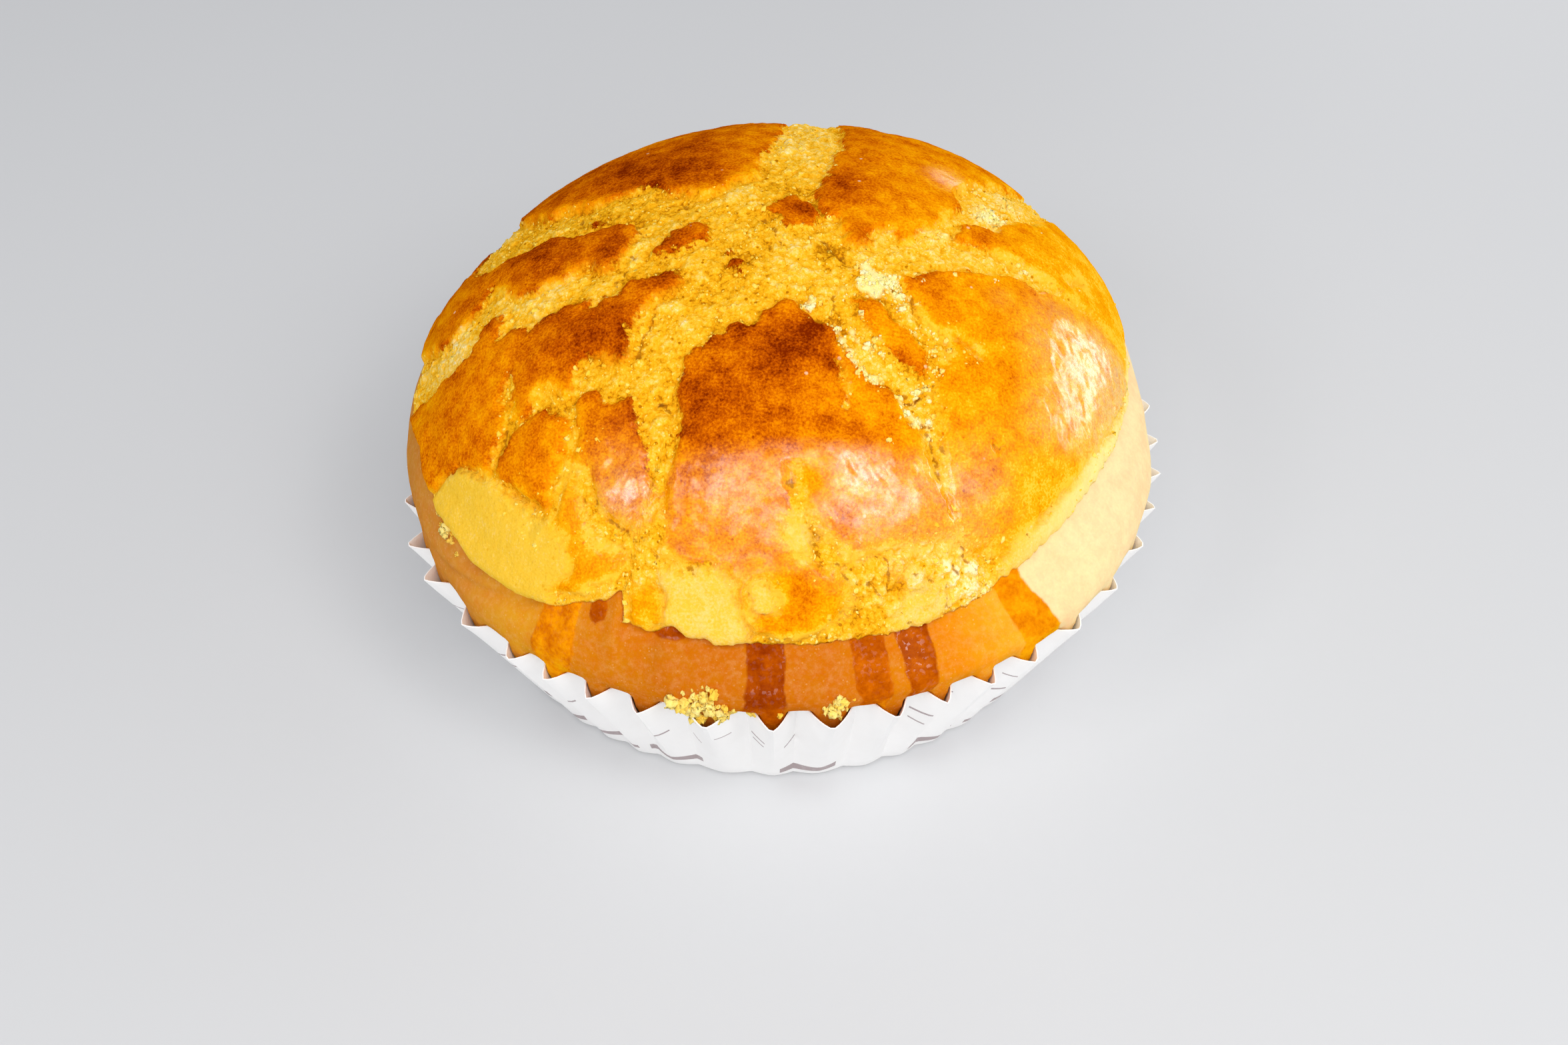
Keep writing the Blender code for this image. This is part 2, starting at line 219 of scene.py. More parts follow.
# browned, egg-washed slabs of the crust, as outlines on the map
slabs = {
    "leftUpper": [
        (-18, 0.2), (-18.6, 1.8), (-23.3, 2.8), (-27.3, 2.4), (-29.3, 4.2), (-31.3, 5.2), (-36, 4.8),
        (-42.7, 5.6), (-46, 8.7), (-50, 15), (-60, 16), (-63, 5), (-58, 1.4), (-54, -1.8), (-50, -4.6),
        (-46, -4.8), (-42.3, -2.4), (-41.5, 0.2), (-38, -2.6), (-35.3, -5.3), (-31.3, -6.3), (-28.7, -6),
        (-25, -4), (-23.3, -6), (-21.7, -6.2), (-18.8, -3.4),
    ],
    "leftShoulder": [
        (-12.2, -8.9), (-13.6, -8.5), (-15, -9.3), (-16, -9.9), (-17.4, -9.6), (-18.4, -9.2),
        (-19.5, -10.2), (-19.9, -11.5), (-22, -11.3), (-23.2, -12.9), (-24, -12.8), (-24, -11.2),
        (-25.2, -11.2), (-26.6, -10.2), (-28, -10.6), (-28.6, -11.8), (-29.6, -11.6), (-31.6, -12.2),
        (-32.8, -13.4), (-33.2, -11.8), (-34.6, -11.3), (-36, -10.9), (-37.6, -12.2), (-38.1, -11.4),
        (-36.9, -9.6), (-37.6, -8), (-39, -7.6), (-40.8, -7.4), (-41.3, -8.4), (-41.2, -9.6),
        (-42.4, -10), (-42.8, -11), (-45.2, -11.6), (-50.9, -12.6), (-57.3, -11), (-64, -8), (-64, -18),
        (-58.5, -20), (-56, -26), (-52, -28), (-49.2, -27.6), (-45.9, -28), (-43.1, -29.3),
        (-40.2, -30.6), (-38.4, -28.4), (-37.2, -24.7), (-37, -20.2), (-35.3, -18), (-34.6, -20.2),
        (-34.6, -24.9), (-33, -25.6), (-31.2, -23.4), (-30.2, -22.4), (-28.8, -23.4), (-27.4, -24.9),
        (-26.4, -24.6), (-26.2, -22.4), (-25.4, -20.6), (-23.4, -19.5), (-21.6, -20.8), (-20.2, -21.3),
        (-19.2, -22), (-18.2, -21.4), (-18.5, -18.2), (-18.9, -16.9), (-17.4, -16.6), (-16.9, -15),
        (-15.5, -14), (-14.6, -12.8), (-13, -12.5), (-12.2, -11.2), (-11.9, -9.8),
    ],
    "flankTop": [
        (-39, -31.3), (-37.3, -29.4), (-35.3, -27.2), (-30.9, -25.2), (-28.7, -26.6), (-27.3, -28.3),
        (-28.1, -30.8), (-28.7, -33.3), (-30, -34.7), (-31, -37), (-31.7, -39.2), (-34.2, -36.6),
        (-37, -33.8),
    ],
    "flankInner": [
        (-25.4, -26.2), (-24.4, -25), (-22.8, -25.3), (-21.6, -26.7), (-20.4, -27.2), (-18.9, -26.5),
        (-18, -26.8), (-17.9, -28.8), (-17.3, -32.4), (-16.4, -35), (-16.1, -40), (-17, -43.5),
        (-18.5, -44.5), (-21, -43), (-23.2, -41), (-23.7, -38), (-24, -35), (-25.8, -33), (-25.3, -29.7),
    ],
    "flankFoot": [
        (-27.5, -36.6), (-29, -39.1), (-29.8, -42.4), (-28.2, -45.8), (-30.9, -48.4), (-33.1, -49.7),
        (-28.7, -50.6), (-23.1, -49.4), (-20.6, -47.7), (-23.1, -46.3), (-25.3, -44.1), (-25.9, -41.3),
        (-26.2, -38.3),
    ],
    "shield": [
        (-12.2, -31), (-12, -27), (-11.2, -25.2), (-11.4, -22.9), (-10.3, -22.3), (-10.2, -21.4),
        (-8.4, -21.4), (-8.2, -20), (-6, -19.9), (-5.5, -18.6), (-4.6, -18.2), (-3, -18.9), (-1.9, -18.3),
        (-1.7, -17.2), (-0.8, -16.8), (0.5, -15.6), (1.6, -15.2), (2.7, -15.6), (3.2, -16.6),
        (4.2, -17.3), (5, -18.3), (6.6, -19.2), (7.8, -19.9), (7.7, -21), (8.7, -22.2), (9.3, -23.8),
        (9.6, -24.8), (11.6, -26), (13.4, -27.2), (15.4, -27.4), (16.4, -29.8), (18.2, -31.6),
        (20.2, -33.4), (20.6, -35.6), (21.8, -38), (25, -42), (27, -45), (24, -46.6), (20, -48.2),
        (14, -48.4), (9.5, -48), (5.8, -46), (4.6, -43), (4.2, -40), (3.2, -38.2), (1.6, -38.5),
        (1.8, -43), (2.4, -47), (5, -50.5), (9, -52.6), (10.5, -55), (8.8, -58.5), (6, -60.2), (1, -60.4),
        (-3, -59.5), (-5, -57), (-5.6, -53), (-6.6, -50.4), (-9, -49.6), (-13, -49.4), (-15.6, -47.8),
        (-14.4, -44), (-13.9, -40), (-12.6, -34),
    ],
    "lobe": [(-21, -52), (-18, -51.5), (-16.2, -53.5), (-16.6, -56), (-19, -57.4), (-21, -56.4)],
    "apronSpot": [(16.2, -49.6), (19.6, -48.6), (20.6, -51), (18.6, -52.6), (16.4, -52)],
    "islet": [
        (10.3, -14.6), (13.9, -14.6), (16.4, -17.4), (20.3, -21), (20.6, -23.1), (19.6, -25.3),
        (15.3, -21.7), (13.1, -20.3), (12.1, -17.4),
    ],
    "rightFront": [
        (16.7, -8.7), (18.9, -8.9), (22.4, -6.7), (26.7, -4.9), (31.7, -3.1), (36, -3.4), (40, -2),
        (46, -1.4), (57, -1), (56.6, -9), (54.5, -15), (51.6, -21), (48.4, -27.6), (45.5, -32.4),
        (42, -36.8), (38.9, -41.7), (35.3, -45.8), (30, -46.6), (26.7, -46.4), (25.6, -42), (23.6, -38),
        (22.6, -33), (22.4, -28.1), (21.4, -26.7), (22.4, -23.1), (24.6, -21), (23.9, -18.9), (21, -17.4),
        (19.6, -14.6), (17.4, -12.4),
    ],
    "rightUpper": [
        (24.2, 0.6), (24.6, 4), (26.7, 5.2), (30.4, 5.6), (31.7, 9), (33.9, 11.2), (37.4, 13.4),
        (40.3, 19.7), (44, 27), (50, 32), (58, 20), (60, 4), (58, -1.6), (44, -0.6), (38, -0.4),
        (33.1, 0.6), (27.4, 0.3),
    ],
    "backRight": [
        (9.4, -4), (10.2, -4.7), (12.6, -4.4), (12.8, -2.4), (13.6, -0.8), (15.4, -0.2), (16.2, -1.2),
        (16.8, -2.5), (18.1, -1.7), (18.8, 0.4), (20.4, 1.8), (21.7, 4), (23.6, 5.6), (24.9, 8.8),
        (24, 11.1), (24.8, 13.4), (26.7, 16.9), (29.6, 19), (35, 25), (41, 34), (42, 44), (36, 50),
        (30, 47), (22, 38), (17, 35), (19, 44), (25, 54), (16, 60), (8, 60), (8.5, 45), (9.7, 30),
        (9.2, 20), (7.4, 12.6), (6.5, 9.7), (5.2, 5.4), (5.3, 3.3), (6.3, 0.3), (8, 0.4), (8.6, -0.8),
        (8.4, -1.9), (9.6, -2.6),
    ],
    "backLeft": [
        (-17.6, 11), (-14.4, 8.4), (-10, 6.6), (-6.7, 7.4), (-5.3, 9.3), (-2.7, 10.8), (-2.7, 14),
        (-1.7, 18), (0, 21), (1, 28), (-0.5, 40), (0, 62), (-30, 56), (-28, 44), (-25, 36), (-30, 36),
        (-36, 44), (-46, 42), (-43, 28), (-39, 18), (-34.7, 13.4), (-30, 12), (-24.7, 10.4),
    ],
    "farLeft": [(-49, 22), (-54, 18), (-61, 20), (-57, 34), (-50, 42), (-46, 34)],
    "farRight": [(50, 35), (60, 24), (58, 42), (46, 54), (44, 43)],
    "crown": [
        (-1.3, 2.2), (-0.4, 2.8), (0.1, 3.6), (1.5, 5), (3, 5), (3.6, 3.5), (4.6, 3), (5, 1.8),
        (5.6, 0.1), (5.1, -0.6), (4.6, -1.5), (2.6, -1.3), (1.2, -1.6), (0.3, -0.6), (0.4, 0.4),
        (-0.4, 0.9), (-1.2, 1.2),
    ],
    "sliver": [
        (-15.8, -5.4), (-12.7, -1.2), (-10.7, -0.1), (-8.4, -1.5), (-8.6, -3.4), (-11.3, -4.4),
        (-14, -5.8),
    ],
    "dot": [(-6.1, -8.8), (-5, -7.4), (-3.4, -8.2), (-4.2, -10)],
    "dotlet": [(-6.8, -6.2), (-5.8, -5.6), (-5.3, -6.6), (-6.2, -7.2)],
    "speck": [(-26, 4.6), (-24.5, 5.6), (-23.4, 4.8), (-24.6, 4.2)],
}
crispSlabs = ("islet", "crown", "sliver", "dot", "dotlet", "speck")  # these don't fade out to the front
# thin furrows inside the slabs: half width and line
slabCuts = (
    (0.3, ((8.2, -24.6), (9.2, -27.4), (9.4, -31))),
    (0.35, ((22.4, -28), (22.6, -33), (23.2, -37.4))),
    (0.4, ((36, -1.4), (40, -1.2), (44, -0.8))),
    (0.4, ((22, -17.8), (25, -18.6), (28, -19.5))),
    (0.25, ((41.7, 2.6), (43.5, 3.4), (45.3, 5.4))),
)
# smooth yellow patches that the egg wash has left bare
barePatches = {
    "leftEdge": [
        (-53, -29), (-50.6, -28.6), (-49.2, -27.6), (-46.2, -28), (-43.7, -29.4), (-39.8, -32.2),
        (-37, -35.4), (-34.2, -38.2), (-30.9, -41.3), (-28.7, -44.1), (-28, -46.3), (-29.8, -48),
        (-32.6, -49.1), (-34, -53), (-46, -50), (-54, -38),
    ],
    "leftRim": [(-60, -14), (-57.5, -18), (-56, -24), (-60, -26), (-64, -18)],
    "frontEdge": [
        (-16, -49.6), (-12.6, -50.6), (-8, -50.2), (-5.8, -53), (-4.8, -57), (-3, -62.5), (-14, -62.5),
        (-17, -58), (-15.8, -54),
    ],
    "frontSpot": [
        (-3.9, -53.2), (-2.6, -52), (-1, -52.4), (0.6, -55.4), (0.3, -56.9), (-1.6, -57.2), (-3.4, -56.6),
    ],
    "furrowFoot": [(2.2, -44), (3.4, -44.4), (4.4, -46.4), (5.4, -48), (5, -49.4), (3.2, -50), (2.2, -48.6)],
    "rightBand": [
        (36.6, -44.6), (42.6, -36.8), (47.6, -29), (52, -21), (55.4, -14), (57, -6), (57, 4), (62, 4),
        (62, -10), (56, -26), (48, -40), (40, -49), (35, -50),
    ],
    "footBare": [(21, -52.5), (26, -51), (28, -53.5), (26, -58), (20, -61), (18, -56)],
}
# browning of the slabs over their paler lower right: u, v, reach, amount
browned = (
    (5, -20.7, 2.9, 0.52), (-10.5, -28, 4.5, 0.20), (-1, -21, 7, 0.24), (-6, -31, 6, 0.10),
    (1, -28, 7, 0.18), (-4.4, -19.2, 1.6, 0.22), (-7.4, -21, 2.2, 0.2), (-11, -32.4, 2.2, 0.2),
    (-10.8, -26.6, 1.6, 0.14), (7.8, -25.5, 1.5, 0.26), (7.4, -33.4, 2.6, 0.22), (0.6, -23.4, 2.4, 0.16),
    (-18.6, -15.8, 2.6, 0.2), (-19.3, -20.4, 1.7, 0.3), (-13.6, -9.6, 1.8, 0.16), (-25, -17.6, 3, 0.1),
    (-21, -17, 5, 0.2), (-14, -11, 3.5, 0.2), (-27, -14.5, 5, 0.24), (-39.6, -8.4, 1.6, 0.2),
    (-19, -28.4, 2.8, 0.26), (-22, -4.8, 4, 0.3), (-20.6, -1, 2.4, 0.16), (-32, 2, 9, 0.26),
    (-18, 18, 13, 0.33), (-12, 10, 6, 0.12), (-32, 22, 9, 0.1), (-50, -20, 9, -0.08), (-50, 4, 8, -0.08),
    (-25, -15, 3, -0.08), (9, 6, 5, 0.26), (8.6, 9, 1.6, 0.2), (11.5, -3, 2.4, 0.36), (10, 16, 9, 0.14),
    (2, 2, 4, 0.2), (4, 0.4, 1.6, 0.24), (-11.5, -3, 5, 0.2), (19, 6, 4, 0.1), (-5, -9, 3, 0.4),
    (0, -33, 5, 0.1), (15, -34, 4, 0.12), (31, -27, 9, 0.06), (27, -14, 9, 0.14), (17, -25, 5, 0.16),
    (35, -6, 7, 0.12), (-9, -35, 4.5, 0.16), (-14, -11, 3, 0.16), (8, 2, 12, 0.06), (30, 8, 9, 0.05),
    (-50, -22, 12, -0.08), (-40, -3, 4, -0.12), (4, -26, 5, 0.06), (32, -27, 7, 0.08), (24, 6, 8, 0.06),
    (-32, 0, 2.4, 0.1), (-30, 12, 9, -0.1), (-55, -14, 12, -0.08), (-57, 6, 9, -0.1),
    (-20, 26, 12, -0.22), (0, 26, 7, -0.12), (2, -57, 9, 0.08), (20.4, -9, 3, 0.26), (28, 2, 5, 0.16),
    (16, -22, 5, 0.10), (13, -15, 2.4, 0.12), (12, 40, 16, 0.2), (-10, 36, 16, 0.12), (34, 34, 14, 0.14),
    (-52, 30, 12, 0.2), (-27, -46, 6, -0.22), (-29, -38, 5, -0.16), (3, -56, 7, -0.2),
    (-11, -46, 5, -0.14), (27, -41, 5, 0.12), (10, -44.6, 2.4, 0.14), (-19, -54, 4, -0.14),
    (40, -34, 9, -0.08), (34, 10, 4, 0.1), (-12, -40.6, 2.4, 0.2), (-7.4, -46, 1.6, 0.16),
    (9, -45.4, 2, 0.16), (46, -28, 8, 0.08), (42, -1, 7, 0.06), (4, -54.5, 3.4, 0.22), (-48, -22, 8, 0.1),
    (-34, -30, 4, 0.06), (-21, -18, 3, 0.08), (-20, 18, 6, 0.1), (-12, 13, 4, 0.1), (14, -36, 3, 0.08),
    (-12, -48, 3, 0.12), (4, -43, 3, 0.1), (34, -43, 4, 0.1), (-24, -43, 3, -0.1), (-28.5, -42, 3, 0.1),
    (0, -33, 3, 0.06), (24, 8, 1.8, 0.2), (30, -35.5, 3, 0.12), (10.6, -34.4, 2, 0.14),
)
# cracks and pits: half width, depth, line
cracks = (
    (0.22, 1.2, ((-15.9, -16.6), (-16.6, -18), (-16.9, -19.4), (-17.2, -20.6), (-17.8, -21.4))),
    (0.16, 0.6, ((-14.8, -14.2), (-15.2, -15.6), (-15.9, -16.6))),
    (0.5, 1.0, ((-14.8, -28.4), (-13.6, -28.5), (-13.5, -29.6))),
    (0.2, 0.7, ((-19.4, -6.8), (-20, -8), (-20.5, -9.3))),
    (0.3, 0.8, ((-18.4, -4.3), (-17.9, -5))),
    (0.25, 0.9, ((-27.5, 8.6), (-27, 7.4), (-26.7, 6.6))),
    (0.25, 0.8, ((-12.5, 5.9), (-12, 5.2))),
    (0.3, 0.6, ((-16.8, 8.4), (-16.7, 7.6))),
    (0.14, 0.6, ((-18.6, 2.2), (-18.1, 0.6), (-17.4, -0.4), (-16.8, -1))),
    (0.35, 0.9, ((5.9, -4.2), (6.7, -5), (7.1, -5.8))),
    (0.14, 0.7, ((7.1, -5.8), (8.2, -6.6), (9.4, -8.8))),
    (0.3, 0.6, ((8.6, -6.9), (9, -7.3))),
    (0.32, 0.8, ((-1.9, 0.1), (-1.8, -0.2))),
    (0.13, 0.6, ((-1.8, -0.2), (-0.8, -1.4), (-0.2, -2.8), (0.2, -4.2), (0.9, -4.6), (0.8, -5.4))),
    (0.2, 0.4, ((-0.8, -5.2), (-0.7, -5.8))),
    (0.3, 0.8, ((-2.4, 3.4), (-2.2, 3.1))),
    (0.13, 0.6, ((8.4, -13), (7.8, -15), (7.4, -17.6), (7.5, -18.4))),
    (0.32, 0.8, ((7.5, -18.3), (7.6, -18.7))),
    (0.25, 0.7, ((11.4, -13.7), (11.6, -13.9))),
    (0.28, 0.8, ((15.7, -11.8), (16, -12.1))),
    (0.3, 1.0, ((18.1, -12.8), (18.3, -13.8), (18.8, -15))),
    (0.55, 1.2, ((17.6, -28.9), (18.8, -28.6), (19.8, -28.1))),
    (0.3, 0.8, ((16.5, -28), (17.6, -27.7))),
    (0.25, 0.7, ((20.4, -26.4), (21.4, -25.6))),
    (0.2, 0.8, ((22.2, -23), (22.2, -25))),
    (0.25, 0.8, ((20, -32), (21.6, -31.9))),
    (0.2, 0.8, ((21.2, -33), (22.2, -34.4), (22.3, -36.6), (22.6, -38.6))),
    (0.2, 0.6, ((23.2, -34), (23.4, -34.8))),
    (0.3, 0.8, ((30.6, -32), (31.4, -32.6), (32, -32.2))),
    (0.16, 0.7, ((-22.6, -42.4), (-20.9, -44), (-19.4, -45.2), (-17.6, -46.2))),
    (0.2, 0.7, ((-17.2, -47.4), (-16.6, -48.4), (-15.6, -49))),
    (0.2, 0.6, ((-24.2, -38.6), (-24, -39.6))),
    (0.2, 0.6, ((-14.8, -40.3), (-14.6, -40.6))),
    (0.2, 0.7, ((-25.8, -25.4), (-26.6, -26.4), (-27.4, -26.8))),
    (0.15, 0.6, ((-36.4, -26), (-37, -27), (-37.1, -28.2), (-38, -29.2))),
    (0.22, 0.7, ((1.9, -40.6), (2, -41.6))),
    (0.2, 0.6, ((5.2, -46.4), (5.9, -47.3))),
    (0.2, 0.7, ((27, -46.4), (28.2, -46.6), (28.4, -47.2), (29.8, -48), (30, -48.4))),
    (0.22, 0.7, ((31, -49), (31.8, -48.3))),
    (0.15, 0.5, ((32, -47.4), (33.6, -47.1))),
    (0.28, 0.7, ((26.8, -48.8), (27.4, -49.6), (28.2, -50))),
    (0.18, 0.6, ((32.4, -50.2), (34, -50.1))),
    (0.15, 0.6, ((16.6, -52.8), (17.3, -54.2), (18, -53.8), (18.8, -52.8))),
    (0.12, 0.5, ((13.8, -53.4), (15, -54.4), (16.4, -55))),
    (0.14, 0.5, ((11.4, -52.6), (12.6, -53.4), (13.8, -53.3))),
    (0.16, 0.6, ((14.8, -49.2), (16, -50), (16.4, -52.4))),
    (0.13, 0.5, ((26.6, -51), (27.3, -53), (27.1, -54.6), (28.6, -54.8), (31, -54.6))),
    (0.13, 0.4, ((20.2, -51.6), (22, -51.4), (24.4, -51.8))),
    (0.2, 0.5, ((20.4, -57.6), (21.4, -57.4))),
    (0.2, 0.4, ((39.4, -41.5), (40, -41.4))),
    (0.2, 0.5, ((-12.3, -50.3), (-11.3, -50.9))),
    (0.14, 0.4, ((8.4, -50.4), (9.8, -51.6), (10.4, -53))),
)
# spots of the wet front that stay dull: u, v, reach, amount
dullSpots = (
    (4.6, -40.6, 2.6, 1.3), (-11, -42, 2.2, 0.8), (-7.6, -46, 1.6, 0.5), (9.5, -45.6, 1.4, 0.8),
    (-3, -36, 4, 0.4), (-10, -50, 3, 0.6), (15.6, -35, 3, 0.8), (8, -57, 5, 0.9), (0, -57, 6, 1.0),
    (7, -37.4, 1.2, 0.6), (-13, -36, 2.4, 0.6), (2, -54, 4, 0.6),
)
# spots of egg wash that shine more: u, v, reach, amount
wetSpots = (
    (12, -42, 3.6, 0.4), (18, -43, 4, 0.5), (-7, -40, 3, 0.3), (-20, -40, 3.2, 0.6), (23.4, 15, 2.2, 0.3),
    (48, -12, 6, 0.6), (29, -39, 6, 0.5), (36, -14, 3, 0.4), (31, -9, 2, 0.2), (9, -37.6, 1.4, 0.3),
    (39, -26, 4, 0.4),
)
# paler and darker stretches of the crumb: u, v, reach, amount
crumbTones = (
    (7.6, -6.4, 2.6, -0.4), (0, -8, 5, -0.16), (-30, -9, 6, 0.16), (-50, -10, 7, 0.2), (5, 18, 8, 0.16),
    (-20, 7, 5, -0.08), (-38, 9, 5, -0.04), (5, 27, 6, 0.1), (4, -55, 14, -0.26), (31, -48, 6, 0.26),
    (3, -15, 8, -0.12), (-14, -12, 5, -0.08), (8, -17, 6, -0.12), (0, 4, 7, -0.12), (20, -24, 6, -0.1),
    (-47, -5, 7, 0.1), (20, -4, 3, -0.06), (29, 10, 4, 0.2),
)
# stretches where the furrows lie nearly level with the slabs: u, v, reach, amount
shallowSpots = (
    (3, -41, 3.5, 1.0), (3.4, -46, 4, 1.0), (-28, -40, 4, 0.6), (-15.5, -45, 3, 0.9), (-9, -50.6, 4, 0.9),
    (-24, -47, 4, 0.6), (24, -50, 6, 0.5), (12, -55, 6, 0.5), (23, -38, 3, 0.6), (-36, -24, 3, 0.5),
)
# stretches where the egg wash ran over the crumb: u, v, reach, amount
washedSpots = (
    (-27, -33, 3.5, 1.2), (-29, -41, 3, 1.0), (-22, -47, 3, 0.8), (-36, -24, 2.5, 0.8),
    (-14.8, -42, 1.6, 1.0), (3, -40, 2, 1.0), (2.4, -48, 3, 1.0), (11, -49.6, 3, 1.0), (12, -57, 3, 0.8),
    (-4, -51, 3, 1.0), (27, -43, 6, 1.0), (-19, -55, 3, 0.6), (24, -22, 2.5, 0.8), (-31, -48, 3, 0.8),
    (17, 3, 4, 0.6),
)
# patches of crumbled crust at slab level, and heaps of loose crumbs
crumbled = (
    (23, -49.5, 4.5, 1.0), (31, -48, 4, 1.0), (14, -51.5, 3.4, 0.9), (20, -54, 4, 0.7), (35, -46, 3, 0.6),
    (25.5, -18.6, 3.0, 0.6), (28, -54, 4, 0.6), (13, -57.5, 3, 0.5), (18, -58.5, 2.5, 0.5),
    (5, -48.6, 3, 0.5), (-20, -46, 2.6, 0.5), (40, -43, 3, 0.3), (-36.5, -37, 3, 0.6),
    (-33, -40.5, 2.5, 0.6), (-26, -42, 2, 0.4), (-24, -34, 2.4, 0.3), (47, -34, 2.0, 0.5),
    (50.4, -28.6, 2.2, 0.6), (53, -23, 2.0, 0.5), (55.4, -17, 2.2, 0.6), (56.6, -10.5, 2.0, 0.5),
    (57.4, -3.5, 2.2, 0.6), (57.4, 4, 2.0, 0.5),
)
strewnSpots = (
    (11.9, -8.6, 0.9, 0.8), (11.6, -12.3, 1.2, 0.9), (13.4, -13, 1.1, 1.0), (14.6, -11, 1.3, 0.9),
    (12.6, -10, 1.5, 0.5), (15.9, -10.6, 0.8, 1.0), (16.3, -13, 1.0, 0.9), (16.9, -15.2, 0.8, 0.6),
    (17.8, -17.2, 0.7, 0.5), (19, -18.6, 0.7, 0.6), (21, -18, 0.8, 0.5), (23.2, -18.9, 0.8, 0.5),
    (4.4, -16.2, 0.9, 1.0), (5, -15, 0.6, 0.8), (6.8, -18.9, 0.5, 0.8), (8, -19.8, 0.7, 0.9),
    (8.8, -21.2, 0.7, 0.9), (9.7, -22.8, 0.7, 0.9), (10.2, -24.4, 0.8, 1.0), (11.6, -25.8, 0.8, 1.0),
    (13.2, -26.6, 0.9, 0.9), (10.2, -19.8, 0.8, 0.8), (10.9, -21.2, 0.6, 0.7), (12.3, -21.9, 0.7, 0.9),
    (14.3, -22.9, 0.5, 0.9), (13.8, -20.5, 0.4, 0.9), (11.8, -16.8, 0.6, 0.7), (9.3, -14.4, 0.7, 0.5),
    (16.8, -29.2, 0.7, 0.9), (17.8, -30.6, 0.8, 1.0), (19.4, -31.4, 0.9, 1.0), (21.2, -31.2, 0.8, 0.9),
    (19, -27.5, 0.6, 0.8), (20.8, -27.8, 0.8, 0.6), (21.4, -32.8, 0.6, 0.6), (23.2, -23.6, 0.7, 0.6),
    (21.8, -21, 0.8, 0.35), (21.4, -23.6, 0.8, 0.35), (20.8, -26, 0.8, 0.35), (23.3, -33.4, 0.6, 0.5),
    (29.8, 9.8, 2.0, 1.0), (13.4, -10.4, 1.3, 0.8), (28.6, 8.4, 1.0, 0.7), (33, 14, 2, 0.4),
    (28.6, 6.4, 0.5, 0.6), (22.5, 1, 0.7, 0.9), (26.4, 8.2, 0.8, 0.4), (35, -0.4, 0.7, 0.5),
    (23.2, -7.3, 0.45, 1.0), (29.9, -6, 0.4, 1.0), (15.2, -35.1, 0.35, 1.0), (19.5, -10, 0.45, 0.8),
    (19, -8.2, 0.5, 0.6), (17.9, -12.9, 0.4, 0.8), (29.6, -14.4, 0.35, 0.9), (44, 2.6, 0.5, 0.6),
    (28, 16.5, 2, 0.3), (12, -47.6, 0.5, 0.6), (33.6, -51.6, 1.4, 0.4), (31, -54, 1.2, 0.5),
)


def rimEdge(azimuth):
    degrees = wrapped(azimuth)
    edge = easedTable(edgeTable, degrees)
    around = ringPoints(crust["raggedRing"], azimuth, 0.0)
    rough = 1.0
    for change, (middle, reach) in ((-crust["raggedRange"], smoothEdge), (crust["raggedRange"], brokenEdge)):
        rough = rough + change * np.exp(-((degrees - middle) / reach) ** 2)
    wander = hills(around, 3.4, 41) + 0.7 * hills(around, 1.2, 42)
    return edge, edge + crust["ragged"] * rough * wander


def bedDepth(arc, edge):
    past = arc - (edge - crust["fadeInside"])
    return crust["bedDepth"] * (1 - softStep(past / (crust["fadeInside"] + crust["fadeOutside"])))


def slabDistance(mapU, mapV, names=tuple(slabs)):
    slab = np.full(mapU.shape, -9.0)
    for name in names:
        slab = np.maximum(slab, insideDistance(mapU, mapV, slabs[name]))
    for halfWidth, line in slabCuts:
        slab = np.minimum(slab, lineDistance(mapU, mapV, line) - halfWidth)
    return slab


def strayed(at, seed):
    return sum(amount * hills(at, size, seed + i, detail)
               for i, (amount, size, detail) in enumerate(crust["stray"]))


def washDepth(u, v):
    # how thick the egg wash lies on the blistered lower front, the right shoulder and the left
    aside = np.abs(u - wash["frontMiddle"])
    front = fadeIn(-v, *wash["frontFrom"]) * fadeIn(-aside, *wash["frontWide"])
    shoulder = wash["shoulder"] * fadeIn(u, *wash["shoulderRight"])
    shoulder = shoulder * fadeIn(-v, *wash["shoulderBack"]) * fadeIn(v, *wash["shoulderFront"])
    leftU, wide, leftV, long = wash["left"]
    left = np.exp(-((u - leftU) / wide) ** 2 - ((v - leftV) / long) ** 2)
    return front, shoulder, left


def crumbRelief(at, broken):
    ledge, clump, grain = crust["crumbSizes"]
    clumps = 2.6 * np.abs(hills(at, clump, 12, 3)) - 0.6
    texture = (hills(at, ledge, 5), clumps, lumps(at, grain, 13) - 0.5)
    relief = sum(amount * part for amount, part in zip(crust["crumbRelief"], texture))
    relief = relief * (1 + 0.6 * broken)
    bent = at + 0.25 * hills(at, 1.2, 18)[:, None]
    return relief + broken * (crust["brokenRelief"] * lumps(bent, crust["brokenSize"], 19) - 0.36)


def slabRelief(at, u, v, slab, wet, shoulder):
    dry, more = crust["blister"]
    blister = hills(at, 3.6, 7) * (dry + more * wet)
    # the skin is pulled into folds that run down to the right
    folded = np.stack((u * 0.80 + v * 0.45, (v * 0.80 - u * 0.45) * 0.4, u * 0), -1)
    folds = 1 - 2 * np.abs(hills(folded, crust["wrinkleSize"], 8))
    fine, wetter, sideways = crust["wrinkle"]
    relief = blister + crust["pimple"] * hills(at, 1.3, 9, 3)
    relief = relief + (fine + wetter * wet + sideways * shoulder) * folds
    return relief + crust["slabCrown"] * (softStep(slab / 6) - 1) * (1 - 0.7 * wet)


